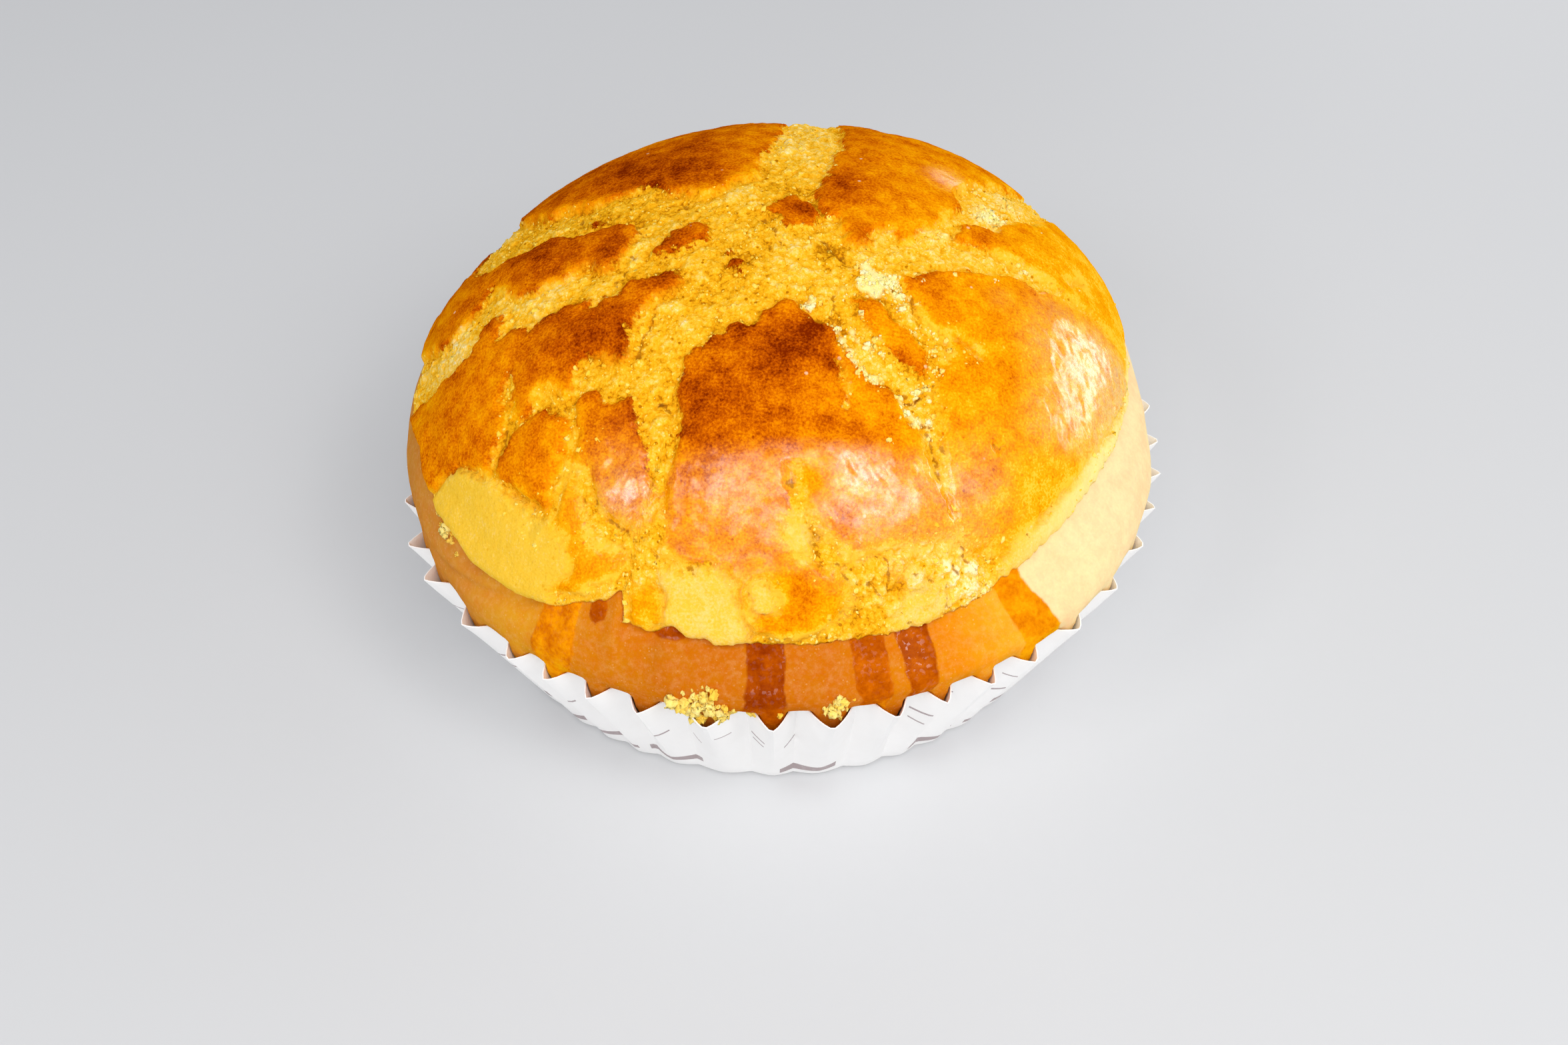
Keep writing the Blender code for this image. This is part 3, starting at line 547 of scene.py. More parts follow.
def cutCracks(lift, mapU, mapV):
    # cuts the cracks into the lift and gives the distance to the nearest one
    nearest = np.full(lift.shape, 3.0)
    for halfWidth, depth, line in cracks:
        away = lineDistance(mapU, mapV, line)
        lift -= crust["crackDepth"] * depth * np.exp(-(away / (halfWidth + 0.2)) ** 2)
        nearest = np.minimum(nearest, away - 0.1 - 0.45 * halfWidth)
    return nearest


def roundedRim(lift, arc, azimuth, edge):
    # a lip that swells towards the edge, rounded over its last stretch
    side = 0.5 + 0.5 * np.cos(azimuth - crust["lipAzimuth"])
    lift = lift + crust["lip"] * side * softStep((arc - edge) / crust["lipWidth"] + 1)
    under = crust["contact"] - bedDepth(arc, edge)
    turn = np.clip((arc - edge) / crust["rimRound"] + 1, 0, 1)
    return under + np.maximum(lift - under, crust["rimThickness"]) * np.sqrt(1 - (0.96 * turn) ** 2)


def browning(at, u, v, slab, fade, shoulder):
    # the back left is browner than the front right, before the spots and the mottle
    spots = spotted(u, v, browned)
    toast = crust["toast"] - 0.005 * u + np.clip((v - 4) * 0.005, 0, 0.1) + spots
    toast += sum(amount * hills(at, *rest) for amount, *rest in crust["mottle"]) - 0.02 * shoulder
    return toast - 0.22 * fade * (1 - softStep(slab / 3)) * softStep(1.3 - 2.4 * spots)


def crumblyEdge(azimuth):
    # how thickly crumbs lie on the crust's edge, all the way round
    degrees = wrapped(azimuth)
    crumbly = np.zeros(degrees.shape)
    for amount, begin, end, blur in crumblyEdges:
        along = amount * softStep((degrees - begin) / blur) * softStep((end - degrees) / blur)
        crumbly = np.maximum(crumbly, along)
    return crumbly


def crustFields(arc, azimuth, edge):
    # what the crust is like at each point: lift over the dome, and the masks that its finish reads
    u = arc * np.sin(azimuth)
    v = -arc * np.cos(azimuth)
    at = domePoints(arc, azimuth, 0.0)
    more, *back = crust["strayBack"]
    looser = 1 + more * fadeIn(v, *back)
    mapU, mapV = u + looser * strayed(at, 1), v + looser * strayed(at, 3)
    slab = slabDistance(mapU, mapV)
    # the browning is crisp on a slab's far edges and fades out on the edges nearer to the front
    nearer = slab - slabDistance(mapU, mapV - crust["fadeLook"])
    fade = softStep(0.5 * nearer / crust["fadeLook"] + 0.35) * softStep(0.6 + hills(at, 6, 16))
    fade *= softStep(-slabDistance(mapU, mapV, crispSlabs) - 0.5)
    fade = np.maximum(fade, covered(mapU, mapV, washedSpots))
    bare = np.full(arc.shape, -9.0)
    for outline in barePatches.values():
        bare = np.maximum(bare, insideDistance(mapU, mapV, outline))
    slab = np.minimum(slab, -bare)
    broken = covered(mapU, mapV, crumbled)
    heaped = covered(u, v, strewnSpots)
    shallow = covered(mapU, mapV, shallowSpots)

    broad = hills(at, 13, 10)
    raised = softStep((np.maximum(slab, bare) + 0.6) / crust["crumbRise"]) * (1 - 0.8 * broken)
    relief = crumbRelief(at, broken)
    groove = np.exp(-((slab + 0.7) / 0.6) ** 2) * softStep(hills(at, 5, 17) + 0.5)
    sunk = crust["crumbDepth"] * (1 + 0.5 * broad) + crust["groove"] * groove
    front, shoulder, left = washDepth(u, v)
    wet = np.clip(front + shoulder + left, 0, 1)
    slabLift = slabRelief(at, u, v, slab, wet, shoulder)
    lift = mixed(relief - sunk * (1 - 0.85 * shallow), slabLift, raised) + crust["waves"] * broad
    crack = cutCracks(lift, mapU, mapV)
    lift = roundedRim(lift + crust["heap"] * heaped, arc, azimuth, edge)

    ofFront, ofLeft = wash["shine"]
    shiny = np.clip(ofFront * front + ofLeft * left + shoulder, 0, 1) * (1 - covered(mapU, mapV, dullSpots))
    shiny = shiny + spotted(mapU, mapV, wetSpots)
    toast = browning(at, u, v, slab, fade, shoulder)
    crumbly = crumblyEdge(azimuth)
    grains = 1 - softStep((np.maximum(slab, bare) + 0.7) / 1.2)
    grains = np.maximum(grains, broken)
    grains = np.maximum(grains, crumbly * softStep((arc - edge + 3.0) / 2.0))
    grains *= softStep((edge - arc + 0.2) / 0.6)
    grains *= softStep(crack / 0.6)
    return {
        "lift": lift,
        "slab": np.clip(np.minimum(slab + 1.7 * spotted(mapU, mapV, washedSpots), 0.3 - bare), -4, 4),
        "bare": np.clip(bare, -4, 4),
        "toast": np.clip(toast, 0, 1),
        # tone: painted light on the crumb's raised relief and painted shade in its low relief, paler along
        # crumbly edges, with the listed paler and darker stretches
        "tone": np.clip(0.5 + 0.5 * relief + 0.1 * crumbly + spotted(u, v, crumbTones), 0, 1),
        "crack": crack,
        "gloss": np.clip(shiny, 0, 1),
        "fade": fade,
        "heap": heaped,
        "grains": grains,
    }


def zipRings(low, high):
    # triangles between two rings of point numbers that run the same way round
    faces = []
    atLow, atHigh = 0, 0
    while atLow < len(low) or atHigh < len(high):
        a, b = low[atLow % len(low)], high[atHigh % len(high)]
        if (atLow + 1) / len(low) <= (atHigh + 1) / len(high):
            atLow += 1
            faces.append((a, low[atLow % len(low)], b))
        else:
            atHigh += 1
            faces.append((a, high[atHigh % len(high)], b))
    return faces


def stackMesh(name, rings, firstPoint, lastPoint):
    # a closed skin through rings of points, with a fan of triangles at each end
    points = np.concatenate([*rings, [firstPoint], [lastPoint]])
    first, last = len(points) - 2, len(points) - 1
    starts = np.cumsum([0] + [len(ring) for ring in rings])
    numbers = [range(start, end) for start, end in zip(starts, starts[1:])]
    faces = [(b, a, first) for a, b in zip(numbers[0], [*numbers[0][1:], numbers[0][0]])]
    for low, high in zip(numbers, numbers[1:]):
        faces += zipRings(low, high)
    faces += [(a, b, last) for a, b in zip(numbers[-1], [*numbers[-1][1:], numbers[-1][0]])]
    mesh = bpy.data.meshes.new(name)
    mesh.from_pydata((points * mm).tolist(), [], faces)
    mesh.shade_smooth()
    return mesh


def setMask(mesh, name, values):
    mask = mesh.attributes.new(name, "FLOAT", "POINT")
    padded = np.zeros(len(mesh.vertices))
    padded[:len(values)] = values
    mask.data.foreach_set("value", padded)


def addPiece(name, mesh, finish):
    piece = bpy.data.objects.new(name, mesh)
    bpy.context.scene.collection.objects.link(piece)
    if finish:
        mesh.materials.clear()
        mesh.materials.append(finish)
    return piece


class Wiring:
    # adds nodes to one tree and links or sets what they are given

    def __init__(self, tree):
        self.tree = tree

    def feed(self, socket, value):
        if isinstance(value, bpy.types.NodeSocket):
            self.tree.links.new(value, socket)
        else:
            socket.default_value = value

    def add(self, kind, inputs=None, **settings):
        node = self.tree.nodes.new(kind)
        for name, value in settings.items():
            setattr(node, name, value)
        for key, value in (inputs or {}).items():
            self.feed(node.inputs[key], value)
        return node

    def result(self, kind, inputs=None, **settings):
        return self.add(kind, inputs, **settings).outputs[0]

    def calc(self, operation, *values, clamp=False):
        node = self.add("ShaderNodeMath", operation=operation, use_clamp=clamp)
        for socket, value in zip(node.inputs, values):
            self.feed(socket, value)
        return node.outputs[0]

    def times(self, a, b, clamp=False):
        return self.calc("MULTIPLY", a, b, clamp=clamp)

    def over(self, a, b, clamp=False):
        return self.calc("DIVIDE", a, b, clamp=clamp)

    def plus(self, a, b):
        return self.calc("ADD", a, b)

    def minus(self, a, b):
        return self.calc("SUBTRACT", a, b)

    def timesPlus(self, a, b, c):
        return self.calc("MULTIPLY_ADD", a, b, c)

    def swing(self, value, middle, amount, base):
        # the base, moved by an amount of how far the value is from its middle
        return self.timesPlus(self.minus(value, middle), amount, base)

    def vector(self, operation, *values, output=0):
        node = self.add("ShaderNodeVectorMath", operation=operation)
        for socket, value in zip(node.inputs, values):
            self.feed(socket, value)
        return node.outputs[output]

    def xyz(self, x, y, z):
        return self.result("ShaderNodeCombineXYZ", {0: x, 1: y, 2: z})

    def split(self, vector):
        return self.add("ShaderNodeSeparateXYZ", {0: vector}).outputs

    def noise(self, vector, scale, detail=2.0, rough=0.5):
        inputs = {"Vector": vector, "Scale": scale, "Detail": detail, "Roughness": rough}
        return self.result("ShaderNodeTexNoise", inputs)

    def bend(self, vector, scale):
        # three random numbers round the point, -0.5 to 0.5
        noisy = self.add("ShaderNodeTexNoise", {"Vector": vector, "Scale": scale, "Detail": 2.0}).outputs[1]
        return self.vector("SUBTRACT", noisy, (0.5, 0.5, 0.5))

    def stretched(self, vector, scale):
        longer = self.add("ShaderNodeVectorMath", {0: vector, "Scale": scale}, operation="SCALE")
        return longer.outputs[0]

    def ramp(self, value, low, high, toLow=0.0, toHigh=1.0):
        # a soft step as the value goes from low to high
        inputs = {0: value, 1: low, 2: high, 3: toLow, 4: toHigh}
        return self.result("ShaderNodeMapRange", inputs, interpolation_type="SMOOTHSTEP")

    def blend(self, share, a, b):
        return self.add("ShaderNodeMix", {0: share, 6: a, 7: b}, data_type="RGBA").outputs[2]

    def blendValue(self, share, a, b):
        return self.result("ShaderNodeMix", {0: share, 2: a, 3: b})

    def mask(self, name):
        return self.add("ShaderNodeAttribute", attribute_name=name).outputs["Fac"]

    def colours(self, value, stops):
        # a colour ramp from (place, screen colour) stops
        node = self.add("ShaderNodeValToRGB", {0: value})
        elements = node.color_ramp.elements
        while len(elements) < len(stops):
            elements.new(0.5)
        for element, (place, code) in zip(elements, stops):
            element.position = place
            element.color = rgb(code)
        return node.outputs[0]

    def place(self):
        return self.add("ShaderNodeTexCoord").outputs["Object"]

    def dent(self, shader, depth, height):
        bump = self.result("ShaderNodeBump", {"Distance": depth, "Strength": 1.0, "Height": height})
        self.feed(shader["Normal"], bump)

    def group(self, shared, **inputs):
        node = self.add("ShaderNodeGroup", node_tree=shared)
        for name, value in inputs.items():
            self.feed(node.inputs[name], value)
        return node.outputs


def newTree(name, kind, inputs, outputs):
    # an empty node tree with named sockets; gives its wiring, its input sockets and its output node
    tree = bpy.data.node_groups.new(name, kind)
    for label, socketType in inputs:
        tree.interface.new_socket(label, in_out="INPUT", socket_type="NodeSocket" + socketType)
    for label, socketType in outputs:
        tree.interface.new_socket(label, in_out="OUTPUT", socket_type="NodeSocket" + socketType)
    wiring = Wiring(tree)
    return wiring, wiring.add("NodeGroupInput").outputs, wiring.add("NodeGroupOutput").inputs


def newFinish(name, **constants):
    # a material whose constant values sit on the shader's own sockets
    finish = bpy.data.materials.new(name)
    finish.use_nodes = True
    shader = finish.node_tree.nodes["Principled BSDF"]
    for socket, value in constants.items():
        shader.inputs[socket].default_value = value
    return finish, Wiring(finish.node_tree), shader.inputs


def bakedGrainGroup():
    # fine baked grain: its height, a mottle of light and dark, and a ragged value for edges
    w, given, out = newTree(
        "bakedGrain",
        "ShaderNodeTree",
        (("Vector", "Vector"), ("Size", "Float")),
        (("Height", "Float"), ("Mottle", "Float"), ("Ragged", "Float")),
    )
    scale = w.over(1.0, given["Size"])
    fine = w.noise(given["Vector"], scale, 3.0, 0.65)
    broad = w.noise(given["Vector"], w.times(scale, 0.2), 3.0, 0.6)
    w.feed(out["Height"], w.timesPlus(fine, 0.7, w.times(broad, 0.3)))
    w.feed(out["Mottle"], w.ramp(broad, 0.32, 0.68))
    w.feed(out["Ragged"], w.minus(w.noise(given["Vector"], w.times(scale, 0.5), 4.0, 0.7), 0.5))
    return w.tree


def crumbGrainGroup():
    # packed uneven grains: how high the surface stands on them, and how pale each one is
    w, given, out = newTree(
        "crumbGrain",
        "ShaderNodeTree",
        (("Vector", "Vector"), ("Size", "Float")),
        (("Height", "Float"), ("Tone", "Float")),
    )
    scale = w.over(1.0, given["Size"])
    bend = w.stretched(w.bend(given["Vector"], scale), w.times(given["Size"], 1.1))
    spot = w.vector("ADD", given["Vector"], bend)
    height, tone = 0.0, 0.0
    for finer, share in ((1.0, 0.6), (1.9, 0.4)):
        cells = w.add("ShaderNodeTexVoronoi", {"Vector": spot, "Scale": w.times(scale, finer)})
        height = w.timesPlus(w.minus(1.0, cells.outputs["Distance"]), share, height)
        tone = w.timesPlus(w.split(cells.outputs["Color"])[0], share, tone)
    rough = w.noise(given["Vector"], w.times(scale, 2.0), 3.0, 0.6)
    w.feed(out["Height"], w.timesPlus(rough, 0.5, height))
    w.feed(out["Tone"], tone)
    return w.tree


def flecksGroup():
    # scattered small round flecks
    w, given, out = newTree(
        "flecks",
        "ShaderNodeTree",
        (("Vector", "Vector"), ("Spacing", "Float"), ("Radius", "Float"), ("Share", "Float")),
        (("Mask", "Float"),),
    )
    scale = w.over(1.0, given["Spacing"])
    cells = w.add("ShaderNodeTexVoronoi", {"Vector": given["Vector"], "Scale": scale})
    reach = w.over(given["Radius"], given["Spacing"])
    near = w.ramp(cells.outputs["Distance"], w.times(reach, 0.5), reach, 1.0, 0.0)
    chosen = w.calc("LESS_THAN", w.split(cells.outputs["Color"])[0], given["Share"])
    w.feed(out["Mask"], w.times(near, chosen))
    return w.tree


bakedGrain = bakedGrainGroup()
crumbGrain = crumbGrainGroup()
flecks = flecksGroup()


crustLook = {
    "glaze": (  # from barely to deeply browned
        (0.0, "FCC234"), (0.1, "FAB00C"), (0.24, "F4A004"), (0.38, "EC8C02"), (0.52, "DE7802"),
        (0.66, "C85E01"), (0.82, "A84401"), (1.0, "782200"),
    ),
    "crumb": (  # from painted shade in the deepest gaps to painted light on the tops of the crumbs
        (0.0, "B87408"), (0.12, "E0980E"), (0.32, "F8B218"), (0.52, "FDC234"), (0.76, "FED670"),
        (1.0, "FFECB4"),
    ),
    "bare": ((0.0, "E8AC24"), (0.3, "F0BE34"), (0.6, "F2C23C"), (0.8, "F4C858"), (1.0, "F5CE70")),
    "band": "F9E28E",  # the bare band where it meets the pale bread
    "heap": "FFF0A4",
    # the cracks' colour is partly the crust's own dark brown and partly painted shade; the next one is
    # painted shade deep inside them
    "crack": "A86A10",
    "pit": "7A4206",
    "paintedGlint": "FFE0C0",
    "pitFlecks": {"Spacing": 1.3 * mm, "Radius": 0.28 * mm, "Share": 0.4},
    "paintedGlintFlecks": {"Spacing": 3.6 * mm, "Radius": 0.3 * mm, "Share": 0.3},
    "grainSize": 0.42 * mm,
    "crumbSize": 0.6 * mm,
    "edgeRagged": 2.2,
    "bump": 0.15 * mm,
}


def crustFinish():
    look = crustLook
    finish, w, shader = newFinish(
        "cookieCrust",
        **{
            "Specular IOR Level": 0.0,
            "Coat Roughness": 0.19,
            "Coat IOR": 2.0,
            "Subsurface Radius": (1.0, 0.7, 0.2),
            "Subsurface Scale": 0.5 * mm,
            "Subsurface Weight": 0.15,
        },
    )
    place = w.place()
    grain = w.group(bakedGrain, Vector=place, Size=look["grainSize"])
    crumb = w.group(crumbGrain, Vector=place, Size=look["crumbSize"])
    fine = w.noise(place, 1 / (0.32 * mm), 2.0, 0.6)
    middle = w.noise(place, 1 / (1.5 * mm), 3.0, 0.6)

    # where the glaze and the bare patches begin, both with a ragged edge
    ragged = w.times(grain["Ragged"], look["edgeRagged"])
    ragged = w.swing(middle, 0.5, 1.2, ragged)
    soft = w.timesPlus(w.mask("fade"), 0.9, 0.14)
    soft = w.plus(soft, w.ramp(w.mask("toast"), 0.2, 0.45, 0.8, 0.0))
    glazed = w.ramp(w.plus(w.mask("slab"), ragged), w.times(soft, -1.0), soft)
    isBare = w.ramp(w.timesPlus(ragged, 1.3, w.mask("bare")), -1.0, 1.2)

    # the glaze, browned unevenly: more along a crisp rim and less along a soft one
    toast = w.swing(fine, 0.5, 0.85, w.mask("toast"))
    toast = w.swing(middle, 0.5, 0.4, toast)
    toast = w.swing(grain["Mottle"], 0.5, 0.1, toast)
    rim = w.ramp(w.mask("slab"), 0.0, 1.4, 1.0, 0.0)
    toast = w.timesPlus(w.times(rim, w.minus(0.45, soft)), 0.3, toast)
    pits = w.group(flecks, Vector=place, **look["pitFlecks"])["Mask"]
    toast = w.timesPlus(pits, 0.16, toast)
    # painted highlights: small pale glints scattered over the glaze
    paintedGlints = w.group(flecks, Vector=place, **look["paintedGlintFlecks"])["Mask"]
    glazeColour = w.colours(toast, look["glaze"])
    glazeColour = w.blend(w.times(paintedGlints, 0.5), glazeColour, rgb(look["paintedGlint"]))

    # the crumb: painted light on its tops and painted shade in its gaps, paler on the heaps, darker beside
    # the slabs
    tone = w.swing(crumb["Tone"], 0.5, 0.4, w.mask("tone"))
    # painted light and shade: paler where the grains stand high, darker between them
    tone = w.swing(crumb["Height"], 0.75, 0.6, tone)
    tone = w.swing(middle, 0.5, 0.7, tone)
    tone = w.swing(w.mask("toast"), 0.35, -0.3, tone)
    tone = w.timesPlus(pits, -0.4, tone)
    halo = w.ramp(w.mask("slab"), -2.6, 0.0)
    tone = w.timesPlus(w.times(halo, w.plus(middle, -0.15)), -0.42, tone)
    crumbColour = w.colours(tone, look["crumb"])
    heaped = w.ramp(w.timesPlus(grain["Ragged"], 0.8, w.mask("heap")), 0.35, 0.9, 0.0, 0.85)
    crumbColour = w.blend(heaped, crumbColour, rgb(look["heap"]))

    # the bare patches, paler from left to right
    pale = w.timesPlus(w.ramp(w.split(place)[0], -24 * mm, -8 * mm), 0.26, middle)
    pale = w.swing(fine, 0.5, 1.2, pale)
    bareColour = w.colours(w.timesPlus(pits, -0.4, pale), look["bare"])
    eastward = w.ramp(w.split(place)[0], 27 * mm, 44 * mm)
    bareColour = w.blend(eastward, bareColour, rgb(look["band"]))

    # one over the other, and the cracks over them all
    colour = w.blend(isBare, crumbColour, bareColour)
    colour = w.blend(glazed, colour, glazeColour)
    # the cracks' dark line: partly the crust's own dark brown, partly painted shade in the narrow gap
    torn = w.timesPlus(grain["Ragged"], 1.0, w.mask("crack"))
    torn = w.ramp(torn, -0.12, 0.1, 0.75, 0.0)
    colour = w.blend(torn, colour, rgb(look["crack"]))
    # painted shade deep in the middle of each crack
    deepestShade = w.ramp(w.mask("crack"), -0.24, -0.1, 0.8, 0.0)
    w.feed(shader["Base Color"], w.blend(deepestShade, colour, rgb(look["pit"])))

    # dull crumb, and patchy gloss on the wet glaze, which is finely crinkled
    w.feed(shader["Roughness"], w.blendValue(glazed, 0.85, w.blendValue(grain["Mottle"], 0.4, 0.5)))
    patchy = w.ramp(w.noise(place, 1 / (1.0 * mm), 3.0, 0.7), 0.38, 0.6)
    coat = w.times(w.mask("gloss"), w.blendValue(patchy, 0.55, 1.15))
    w.feed(shader["Coat Weight"], w.times(coat, glazed, clamp=True))
    smooth = w.calc("MAXIMUM", glazed, w.times(isBare, 0.4))
    crinkle = w.calc("ABSOLUTE", w.minus(w.noise(place, 1 / (0.55 * mm), 2.0, 0.6), 0.5))
    crinkle = w.times(crinkle, w.times(w.mask("gloss"), 3.2))
    height = w.blendValue(smooth, crumb["Height"], w.timesPlus(grain["Height"], 0.6, crinkle))
    w.dent(shader, look["bump"], height)
    return finish


breadLook = {
    # skin colour by azimuth, from the unwashed left over the washed front to the pale right
    "skin": (
        (-180, "DDA050"), (-120, "D89440"), (-75, "CC8432"), (-50, "D0852C"), (-38, "DC941E"),
        (-28, "D47C0C"), (-16, "C66C08"), (-4, "C66B08"), (8, "C86C08"), (18, "D27606"), (26, "E0860A"),
        (32, "EE9A16"), (38, "F4AA2A"), (46, "F6C060"), (60, "F6D8A0"), (130, "F4D498"), (180, "DDA050"),
    ),
    "pale": "F6D8A2",
    "wet": (
        (0.0, "6E2000"), (0.2, "8E3200"), (0.4, "AC4A00"), (0.6, "C86202"), (0.8, "EA8C04"), (1.0, "F8AC0C"),
    ),
    "flourFlecks": {"Spacing": 0.5 * mm, "Radius": 0.16 * mm, "Share": 0.45},
    "grainSize": 0.5 * mm,
    "bump": 0.09 * mm,
}


def breadFinish():
    look = breadLook
    finish, w, shader = newFinish(
        "bakedBread",
        **{
            "Specular IOR Level": 0.0,
            "Coat Roughness": 0.12,
            "Subsurface Radius": (1.0, 0.4, 0.08),
            "Subsurface Scale": 0.8 * mm,
            "Subsurface Weight": 0.08,
        },
    )
    place = w.place()
    grain = w.group(bakedGrain, Vector=place, Size=look["grainSize"])

    # the skin, with a thin bloom of flour
    skin = w.add("ShaderNodeAttribute", attribute_name="skin").outputs["Color"]
    # the skin's own mottle, then painted shade in the grain's hollows, multiplied into the skin
    shade = w.swing(grain["Mottle"], 0.5, 0.10, 1.0)
    shade = w.swing(grain["Height"], 0.5, 0.35, shade)
    mottledAndShaded = w.blend(1.0, skin, w.xyz(1.0, shade, shade))
    mottledAndShaded.node.blend_type = "MULTIPLY"
    flour = w.group(flecks, Vector=place, **look["flourFlecks"])["Mask"]
    flour = w.times(flour, w.ramp(grain["Height"], 0.4, 0.6, 0.04, 0.2))
    bloom = w.ramp(w.noise(place, 1 / (0.9 * mm), 4.0, 0.75), 0.4, 0.8, 0.0, 0.14)
    skin = w.blend(w.calc("MAXIMUM", flour, bloom), mottledAndShaded, rgb(look["pale"]))

    # the run-down egg wash, with beads of gloss
    drip = w.ramp(w.timesPlus(grain["Ragged"], 0.6, w.mask("drip")), -0.15, 0.25)
    depth = w.swing(grain["Mottle"], 0.5, 0.16, w.mask("dripTone"))
    depth = w.swing(grain["Height"], 0.5, 0.5, depth)
    w.feed(shader["Base Color"], w.blend(drip, skin, w.colours(depth, look["wet"])))
    w.feed(shader["Roughness"], w.blendValue(drip, w.blendValue(grain["Mottle"], 0.45, 0.6), 0.3))
    beads = w.ramp(w.noise(place, 1 / (0.6 * mm), 2.0), 0.56, 0.61, 0.04, 1.0)
    wetness = w.times(w.mask("dripWet"), w.ramp(w.split(place)[2], 24 * mm, 29 * mm, 0.2, 0.9))
    w.feed(shader["Coat Weight"], w.times(w.times(drip, beads), wetness, clamp=True))
    height = w.times(grain["Height"], w.blendValue(drip, 1.0, 1.6))
    w.dent(shader, look["bump"], height)
    return finish


paperLook = {
    "white": "FDFCFB",
    "fibre": "D8D2CC",
    "fibreSize": 0.9 * mm,
    "bump": 0.05 * mm,
    "ink": "8B6F72",
    "inkAmount": 0.75,
    # plain printed bars: how many places for them round the case, height of their middle and spread
    # of it, half length as a share of a place, half thickness, share of the places taken, seed
    "marks": (
        (30.0, 2.6, 1.4, 0.42, 0.85, 0.5, 3.0),  # broad ribbons by the floor
        (72.0, 16.5, 5.0, 0.22, 0.24, 0.42, 8.0),  # short dashes by the rim
        (72.0, 13.5, 5.0, 0.18, 0.24, 0.38, 5.0),
    ),
    "grease": "F0A040",
    "greaseSpots": ((-66.0, 16.5, 1.6), (-63.0, 13.5, 1.0)),  # azimuth in degrees, height and reach in mm
}


def marksGroup():
    # plain bars on some of the cells round the case, each at its own place and length
    w, given, out = newTree(
        "plainMarks",
        "ShaderNodeTree",
        (("Turn", "Float"), ("Height", "Float"), ("Cells", "Float"), ("At", "Float"), ("Spread", "Float"),
         ("Length", "Float"), ("Thickness", "Float"), ("Share", "Float"), ("Seed", "Float")),
        (("Mask", "Float"),),
    )
    along = w.times(given["Turn"], given["Cells"])
    cell = w.calc("FLOOR", along)
    chance = w.add("ShaderNodeTexWhiteNoise", {"Vector": w.xyz(cell, given["Seed"], 0.0)})
    first, second, third = w.split(chance.outputs["Color"])
    middle = w.swing(second, 0.5, given["Spread"], given["At"])
    slant = w.times(w.minus(w.calc("FRACT", along), 0.5), w.minus(third, 0.5))
    middle = w.timesPlus(slant, given["Spread"], middle)
    high = w.calc("ABSOLUTE", w.minus(given["Height"], middle))
    wide = w.calc("ABSOLUTE", w.minus(w.calc("FRACT", along), 0.5))
    thick = w.times(given["Thickness"], w.timesPlus(third, 0.6, 0.5))
    mark = w.times(w.calc("LESS_THAN", high, thick), w.calc("LESS_THAN", wide, given["Length"]))
    w.feed(out["Mask"], w.times(mark, w.calc("LESS_THAN", first, given["Share"])))
    return w.tree


def paperFinish():
    look = paperLook
    finish, w, shader = newFinish("casePaper", **{"Specular IOR Level": 0.25, "Roughness": 0.6})
    place = w.place()
    x, y, z = w.split(place)
    azimuth = w.calc("ARCTAN2", x, w.times(y, -1.0))
    turn = w.timesPlus(azimuth, 0.5 / math.pi, 0.5)
    fibres = w.group(bakedGrain, Vector=place, Size=look["fibreSize"])
    colour = w.blend(w.times(fibres["Mottle"], 0.05), rgb(look["white"]), rgb(look["fibre"]))
    for cells, at, spread, length, thickness, share, seed in look["marks"]:
        ink = w.group(
            marksOfPaper, Turn=turn, Height=z, Cells=cells, At=at * mm, Spread=spread * mm,
            Length=length, Thickness=thickness * mm, Share=share, Seed=seed,
        )["Mask"]
        ink = w.times(ink, w.ramp(fibres["Height"], 0.3, 0.5, 0.6, look["inkAmount"]))
        colour = w.blend(ink, colour, rgb(look["ink"]))
    for degrees, height, reach in look["greaseSpots"]:
        away = w.times(w.minus(azimuth, math.radians(degrees)), 50 * mm)
        above = w.minus(z, height * mm)
        spot = w.vector("LENGTH", w.xyz(away, above, 0.0), output=1)
        spot = w.timesPlus(fibres["Ragged"], 1.2 * mm, spot)
        greasy = w.ramp(spot, 0.3 * reach * mm, reach * mm, 0.7, 0.0)
        colour = w.blend(greasy, colour, rgb(look["grease"]))
    w.feed(shader["Base Color"], colour)
    w.dent(shader, look["bump"], fibres["Height"])
    return finish


crumbLook = {
    "toasted": ((0.0, "F0B024"), (0.3, "FCC434"), (0.6, "FFD650"), (1.0, "FFE884")),
    "pale": ((0.0, "FFE060"), (0.35, "FFEC8C"), (1.0, "FFF8CC")),
    "grainSize": 0.4 * mm,
    "bump": 0.05 * mm,
}


def crumbFinish():
    look = crumbLook
    finish, w, shader = newFinish(
        "cookieCrumb",
        **{
            "Specular IOR Level": 0.0,
            "Roughness": 0.9,
            "Subsurface Radius": (1.0, 0.9, 0.7),
            "Subsurface Scale": 0.1 * mm,
            "Subsurface Weight": 0.2,
        },
    )
    place = w.place()
    grain = w.group(crumbGrain, Vector=place, Size=look["grainSize"])
    # painted light on the grains' tops and painted shade between them, over each crumb's random tone
    tone = w.swing(grain["Height"], 0.75, 0.4, w.mask("shade"))
    toasted = w.swing(w.mask("toast"), 0.35, -0.3, tone)
    pale = w.times(w.mask("heap"), 1.6, clamp=True)
    colour = w.blend(pale, w.colours(toasted, look["toasted"]), w.colours(tone, look["pale"]))
    w.feed(shader["Base Color"], colour)
    w.dent(shader, look["bump"], grain["Height"])
    return finish


marksOfPaper = marksGroup()
cookieFinish = crustFinish()
bakedFinish = breadFinish()
caseFinish = paperFinish()
looseFinish = crumbFinish()
print("finishes made")


